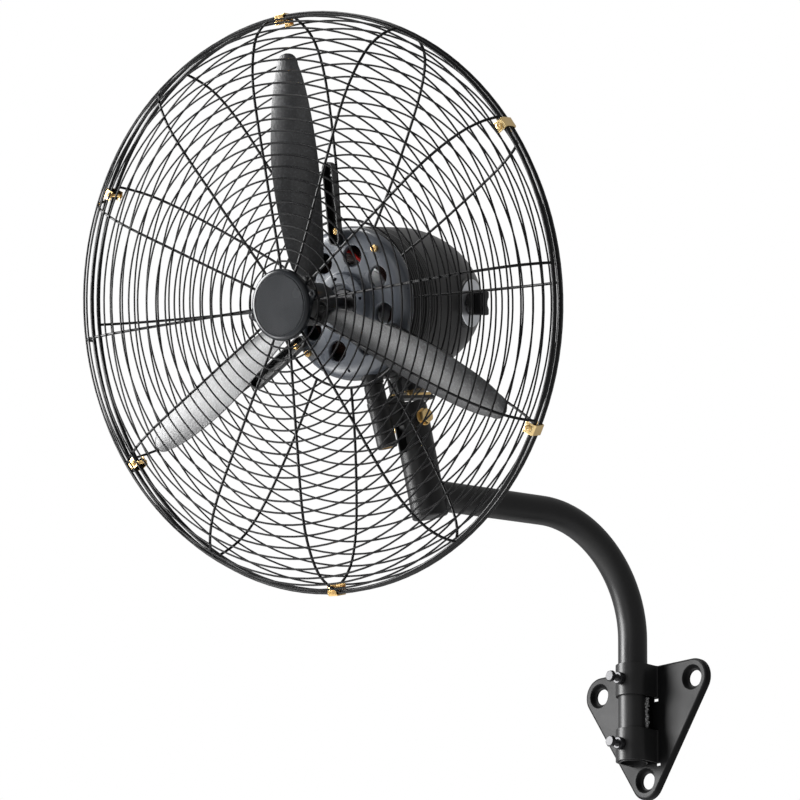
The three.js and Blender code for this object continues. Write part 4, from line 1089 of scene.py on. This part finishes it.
def clip_screw_shape():
    head = cut(lathe([(0, 10.4), (3.9, 10.4), (3.9, 11.6), (3.2, 12.6), (2.2, 13.0), (0, 13.1)], 28),
               block(-3, 3, -0.45, 0.45, 12.0, 14), block(-0.45, 0.45, -3, 3, 12.0, 14))
    nut = lathe([(0, -10.4), (3.6, -10.4), (3.6, -13.1), (2.2, -13.4), (0, -13.4)], 6)
    return moved(gather(head, threads(4, -14.4, 10.6, 0.7), nut), shift(CLIP_SCREW_R, 0, 0))


for index in range(CLIPS):
    place = HEAD @ FORWARD @ turn(FIRST_CLIP + 360 / CLIPS * index, 'Z')
    settle(f"clip_{index + 1}_pressed", clip_shape(), place, "head", "yellow_zinc", f"rim_clip_{index + 1}")
    settle(f"clip_{index + 1}_screw", clip_screw_shape(), place, "head", "yellow_zinc",
           f"clip_screw_{index + 1}")
print("clips", CLIPS)

# %% Strips
STRIPS, FIRST_STRIP, STRIP_SCREW_R = 3, 80, 90
STRIP_IN, STRIP_OUT, STRIP_HALF, STRIP_SHEET = 80, 168, 8, 2


def strip_shape():
    low, high = -69.7, -60.7
    outline, inner = (arc(STRIP_OUT, 0, half, -90, 90, 20) + arc(STRIP_IN, 0, half, 90, 270, 20)
                      for half in (STRIP_HALF, STRIP_HALF - STRIP_SHEET))
    channel = cut(prism(outline, low, high), prism(inner, low + STRIP_SHEET, high + 5))
    bores = [moved(rod(d, low - 5, high + 5, 24, edge=0.1), shift(r, 0, 0))
             for r, d in ((STRIP_SCREW_R, 5.6), (79, 4.4), (104, 3.2), (160, 3.2))]
    return soften(cut(channel, *bores), 0.5, 2, angle=45)


def strip_screw_shape():
    head = cut(lathe([(0, -67.4), (4.6, -67.4), (4.6, -66), (3.6, -64.6), (0, -64.2)], 28),
               block(-4, 4, -0.5, 0.5, -65.4, -60), block(-0.5, 0.5, -4, 4, -65.4, -60))
    return moved(gather(head, rod(4.9, -69.4, -67, 24)), shift(STRIP_SCREW_R, 0, 0))


for index in range(STRIPS):
    place = HEAD @ FORWARD @ turn(FIRST_STRIP + 360 / STRIPS * index, 'Z')
    settle(f"strip_{index + 1}_folded", strip_shape(), place, "head", "strip_coat",
           f"guard_strip_{index + 1}")
    settle(f"strip_{index + 1}_screw", strip_screw_shape(), place, "head", "yellow_zinc",
           f"strip_screw_{index + 1}")
print("strips", STRIPS)

# %% Badge
BADGE_R, BADGE_BACK, BADGE_SCREW_R = 43, 53, 46


def badge_shape():
    disc = lathe([(0, BADGE_BACK), (42.2, BADGE_BACK), (BADGE_R, 53.8), (BADGE_R, 58.6), (41.8, 60.6),
                  (39.4, 61.8), (37.6, 61.9), (37.0, 61.3), (36.2, 61.3), (35.6, 62), (0, 62)], 96)
    fillet = [on_circle(BADGE_R, a) for a in (21, 19, 17)] + [(43.4, 9.5), (45.0, 7.2), (46.6, 5.9)]
    outline = (fillet + arc(46.2, 0, 5.6, 78, -78, 14) + [(x, -y) for x, y in reversed(fillet)]
               + [(30, -10), (30, 10)])
    ears = [prism([(x * side, y * side) for x, y in outline], BADGE_BACK, 57.4) for side in (1, -1)]
    bores = [moved(rod(3.6, 50, 60, 24, edge=0.1), shift(BADGE_SCREW_R * side, 0, 0)) for side in (1, -1)]
    return soften(cut(join(disc, *ears), *bores), 0.35, 2, angle=40)


def badge_screw_shape():
    head = lathe([(0, 55.4), (1.5, 55.4), (1.6, 55.8), (2.6, 57.7), (2.6, 58.2), (1.6, 58.9), (0, 59)], 20)
    return gather(cut(head, block(-2, 2, -0.3, 0.3, 58.2, 60)), rod(2.6, 49.2, 56, 12))


settle("badge_moulded", badge_shape(), HEAD @ FORWARD, "head", "motor_paint", "front_badge", smooth=35)
for name, side in (("left", -1), ("right", 1)):
    settle(f"badge_screw_{name}_cut", badge_screw_shape(),
           HEAD @ FORWARD @ shift(BADGE_SCREW_R * side, 0, 0), "head", "black_zinc", f"badge_screw_{name}")
print("badge", 2 * BADGE_R, "mm across")

# %% [markdown]
# ## Blades and hub
# Each blade is pressed from sheet: twisted more steeply near the hub, lightly cupped, widest past the
# middle and rounded at the tip. A flat outline could be bent with modifiers, but the twist and the
# width change together, so the blade is a row of sections along its length, read from a short table.
# A textured coat hides finger marks and breaks up the reflections. The hub is a casting with a pad
# for each blade.

# %% Blades
BLADES, FIRST_BLADE, BLADE_ROOT, ROUND_FROM, TIP_LONG = 3, 79, 45, 290, 16
# radius, half width, pitch in degrees and how far the middle is swept forward
BLADE = [(45, 19, 32, 0), (70, 23.3, 29, 1), (100, 26.2, 26, 2.5), (140, 29.1, 21.8, 4), (180, 30, 17.6, 4.8),
         (230, 26.6, 12.4, 4.5), (272, 20.4, 8, 4.2), (296, 12.5, 5.4, 4), (306, 4, 4.5, 4)]


def between(table, r):
    """Reads a row of the table at any radius, with a smooth curve through the stations."""
    k = next(i for i in range(len(table) - 1) if r <= table[i + 1][0])
    a, b = table[k], table[k + 1]
    before, after = table[max(k - 1, 0)], table[min(k + 2, len(table) - 1)]
    span = b[0] - a[0]
    t = (r - a[0]) / span
    row = []
    for j in (1, 2, 3):
        rise_a = (b[j] - before[j]) / (b[0] - before[0])
        rise_b = (after[j] - a[j]) / (after[0] - a[0])
        row.append((2 * t ** 3 - 3 * t ** 2 + 1) * a[j] + (t ** 3 - 2 * t ** 2 + t) * rise_a * span
                   + (3 * t ** 2 - 2 * t ** 3) * b[j] + (t ** 3 - t ** 2) * rise_b * span)
    return row


def blade_section(r, half, pitch, swept, round_part, points=14):
    """One section across the blade: a cupped sheet, or the round shank where round_part is 1."""
    p = math.radians(pitch)

    def spot(u, side):
        thin = 1.3 * (1 - 0.5 * u * u)
        around = max(math.sqrt(max(1 - u * u, 0)) * 8.5, 1)
        lift = 0.12 * half * (1 - u * u) * (1 - round_part) + side * (thin + (around - thin) * round_part)
        along = swept + u * half
        return Vector((r, along * math.cos(p) - lift * math.sin(p), along * math.sin(p) + lift * math.cos(p)))

    across = [-math.cos(math.pi * i / (points - 1)) for i in range(points)]
    return [spot(u, 1) for u in across] + [spot(u, -1) for u in reversed(across)]


def make_blade():
    rings = [blade_section(26.3, 8.5, 32, 0, 1), blade_section(30, 9, 32, 0, 0.9),
             blade_section(34, 10.5, 32, 0, 0.78), blade_section(39, 14.6, 32, 0, 0.35)]
    radii = [BLADE_ROOT + (ROUND_FROM - BLADE_ROOT) * i / 30 for i in range(31)]
    rings += [blade_section(r, *between(BLADE, r), 0) for r in radii]
    half, pitch, swept = between(BLADE, ROUND_FROM)
    for k in range(1, 9):
        a = k / 8 * math.pi / 2
        width = max(half * math.cos(a) ** 0.85, 1.2)
        rings.append(blade_section(ROUND_FROM + TIP_LONG * math.sin(a), width, pitch, swept, 0))
    return loft(rings)


for index in range(BLADES):
    place = HEAD @ FORWARD @ turn(FIRST_BLADE + 360 / BLADES * index, 'Z')
    settle(f"blade_{index + 1}_pressed", make_blade(), place, "rotor", "blade_coat", f"blade_{index + 1}",
           smooth=60)
print("blades", BLADES)

# %% Hub
def hub_shape():
    core = lathe([(7.8, -23), (22, -23), (24, -21.8), (26, -16), (26, 15), (25, 18.5), (21, 22), (14, 23),
                  (7.8, 23)], 72, closed=True)
    outline = [(10, -12), (27.5, -15), (34, -12.5), (34, 12.5), (27.5, 15), (10, 12)]
    pads = []
    for k in range(BLADES):
        pad = soften(prism(outline, 9.5, 15.5), 1.2, 2)
        bolts = [moved(make_head(8, 15.2, 19.4), shift(29, y, 0)) for y in (7.5, -7.5)]
        pads.append(moved(gather(pad, *bolts), turn(FIRST_BLADE + 360 / BLADES * k, 'Z')))
    return gather(core, *pads)


settle("hub_cast", hub_shape(), HEAD @ FORWARD, "rotor", "shell_paint", "blade_hub")
nut = cut(make_head(19, 23.3, 32.3), rod(15.6, 10, 60, 32))
settle("hub_nut_cut", nut, HEAD @ FORWARD, "rotor", "black_zinc", "hub_nut")
print("hub pads", BLADES)

# %% [markdown]
# ## Knob and dial
# The fan is switched at the motor's side: a knob with a grip bar stands on an oval dial of thin sheet.
# A bar with straight sides would do, but the real one is hollowed on top for the fingers, so a round
# rod is cut out of it. The dial is left plain.

# %% Control knob
KNOB_R = 15


def knob_shape():
    skirt, top = KNOB_PAD_R + 1, KNOB_PAD_R + 23
    grip = lathe([(0, skirt), (14.2, skirt), (KNOB_R, skirt + 0.8), (KNOB_R, skirt + 5.4),
                  (13.6, skirt + 7.4), (11.5, skirt + 8), (0, skirt + 8)], 64)
    bar = prism(arc(0, 0, KNOB_R, 68, 112, 8) + arc(0, 0, KNOB_R, 248, 292, 8), skirt + 1, top)
    hollow = moved(rod(30, -20, 20, 48, edge=0.1), SIDEWAYS, shift(0, 0, top + 13))
    return soften(gather(grip, cut(bar, hollow), rod(9, KNOB_PAD_R - 9, skirt + 1, 24)), 0.5, 2, angle=50)


settle("knob_moulded", knob_shape(), HEAD @ FORWARD @ KNOB_PLACE, "knob", "black_plastic", "control_knob")
print("knob", 2 * KNOB_R, "mm across")


# %% Dial
def dial_shape():
    """An oval sheet with a rolled edge and a round hole for the knob's stem, proud of the pad."""
    low = KNOB_PAD_R + 0.1
    sheet = moved(lathe([(0, low), (24, low), (24.4, low + 0.4), (24, low + 0.9), (21.6, low + 0.9),
                         (21.2, low + 0.6), (0, low + 0.6)], 72), OVAL)
    return cut(sheet, rod(11, low - 3, low + 3, 32, edge=0.1))


settle("dial_plate", dial_shape(), HEAD @ FORWARD @ KNOB_PLACE, "head", "bare_steel")
print("dial on a pad of", KNOB_PAD_D, "by", KNOB_PAD_TALL)

# %% [markdown]
# ## Room and light
# The picture is a plain product view: a pale floor far below, a white world behind, and soft boxes in
# front. One white world for everything would turn black paint grey, so the camera sees it white while
# reflections and shadows see it dimmer. The big box on the left stands where the left blade mirrors
# the camera's rays, and a small low one does the same for the right blade.

# %% Floor, world and lights
def pale_material():
    material = bpy.data.materials.new("pale_floor")
    material.use_nodes = True
    tree = material.node_tree
    shader = tree.nodes['Principled BSDF']
    shader.inputs['Base Color'].default_value = (0.92, 0.92, 0.92, 1)
    place = add(tree, 'ShaderNodeTexCoord').outputs['Object']
    grain = add(tree, 'ShaderNodeTexNoise', {'Vector': place, 'Scale': 30.0})
    tree.links.new(remap(tree, grain.outputs['Fac'], 0.0, 1.0, 0.7, 0.8), shader.inputs['Roughness'])
    return material


floor_mesh = bpy.data.meshes.new("floor")
floor_mesh.from_pydata([(-8, -8, -1.6), (8, -8, -1.6), (8, 8, -1.6), (-8, 8, -1.6)], [], [(0, 1, 2, 3)])
floor_mesh.materials.append(pale_material())
floor = bpy.data.objects.new("floor", floor_mesh)
bpy.context.scene.collection.objects.link(floor)


def make_world():
    world = bpy.data.worlds.new("studio")
    bpy.context.scene.world = world
    world.use_nodes = True
    tree = world.node_tree
    tree.nodes.clear()
    path = tree.nodes.new('ShaderNodeLightPath')
    for_light, for_gloss, for_camera = 0.28, 0.4, 1.0
    glossy = remap(tree, path.outputs['Is Glossy Ray'], 0.0, 1.0, for_light, for_gloss)
    seen = add(tree, 'ShaderNodeMath', {0: path.outputs['Is Camera Ray'],
                                        1: path.outputs['Is Transmission Ray']}, operation='MAXIMUM')
    direct = remap(tree, seen.outputs[0], 0.0, 1.0, 0.0, for_camera)
    strength = add(tree, 'ShaderNodeMath', {0: glossy, 1: direct}, operation='MAXIMUM')
    white = add(tree, 'ShaderNodeBackground', {'Color': (1, 1, 1, 1), 'Strength': strength.outputs[0]})
    tree.links.new(white.outputs[0], tree.nodes.new('ShaderNodeOutputWorld').inputs[0])


def soft_box(name, place, target, width, height, power):
    data = bpy.data.lights.new(name, 'AREA')
    data.shape, data.size, data.size_y, data.energy = 'RECTANGLE', width, height, power
    light = bpy.data.objects.new(name, data)
    light.location = place
    aim = Vector(target) - Vector(place)
    light.rotation_euler = aim.to_track_quat('-Z', 'Y').to_euler()
    bpy.context.scene.collection.objects.link(light)
    return light


make_world()
MIDDLE_OF_FAN = (0.0, -0.45, 0.35)
# place in metres, width, height and watts
SOFT_BOXES = {"left_box": ((-1.95, -2.25, 0.95), 1.3, 2.3, 275),
              "low_box": ((-1.6, -2.05, -0.75), 0.8, 0.7, 34),
              "top_box": ((-0.4, -1.2, 2.6), 1.0, 1.0, 30),
              "front_box": ((0.9, -2.6, 0.2), 0.6, 1.6, 6)}
for name, (place, width, height, watts) in SOFT_BOXES.items():
    soft_box(name, place, MIDDLE_OF_FAN, width, height, watts)

scene = bpy.context.scene
scene.view_settings.view_transform = 'Standard'
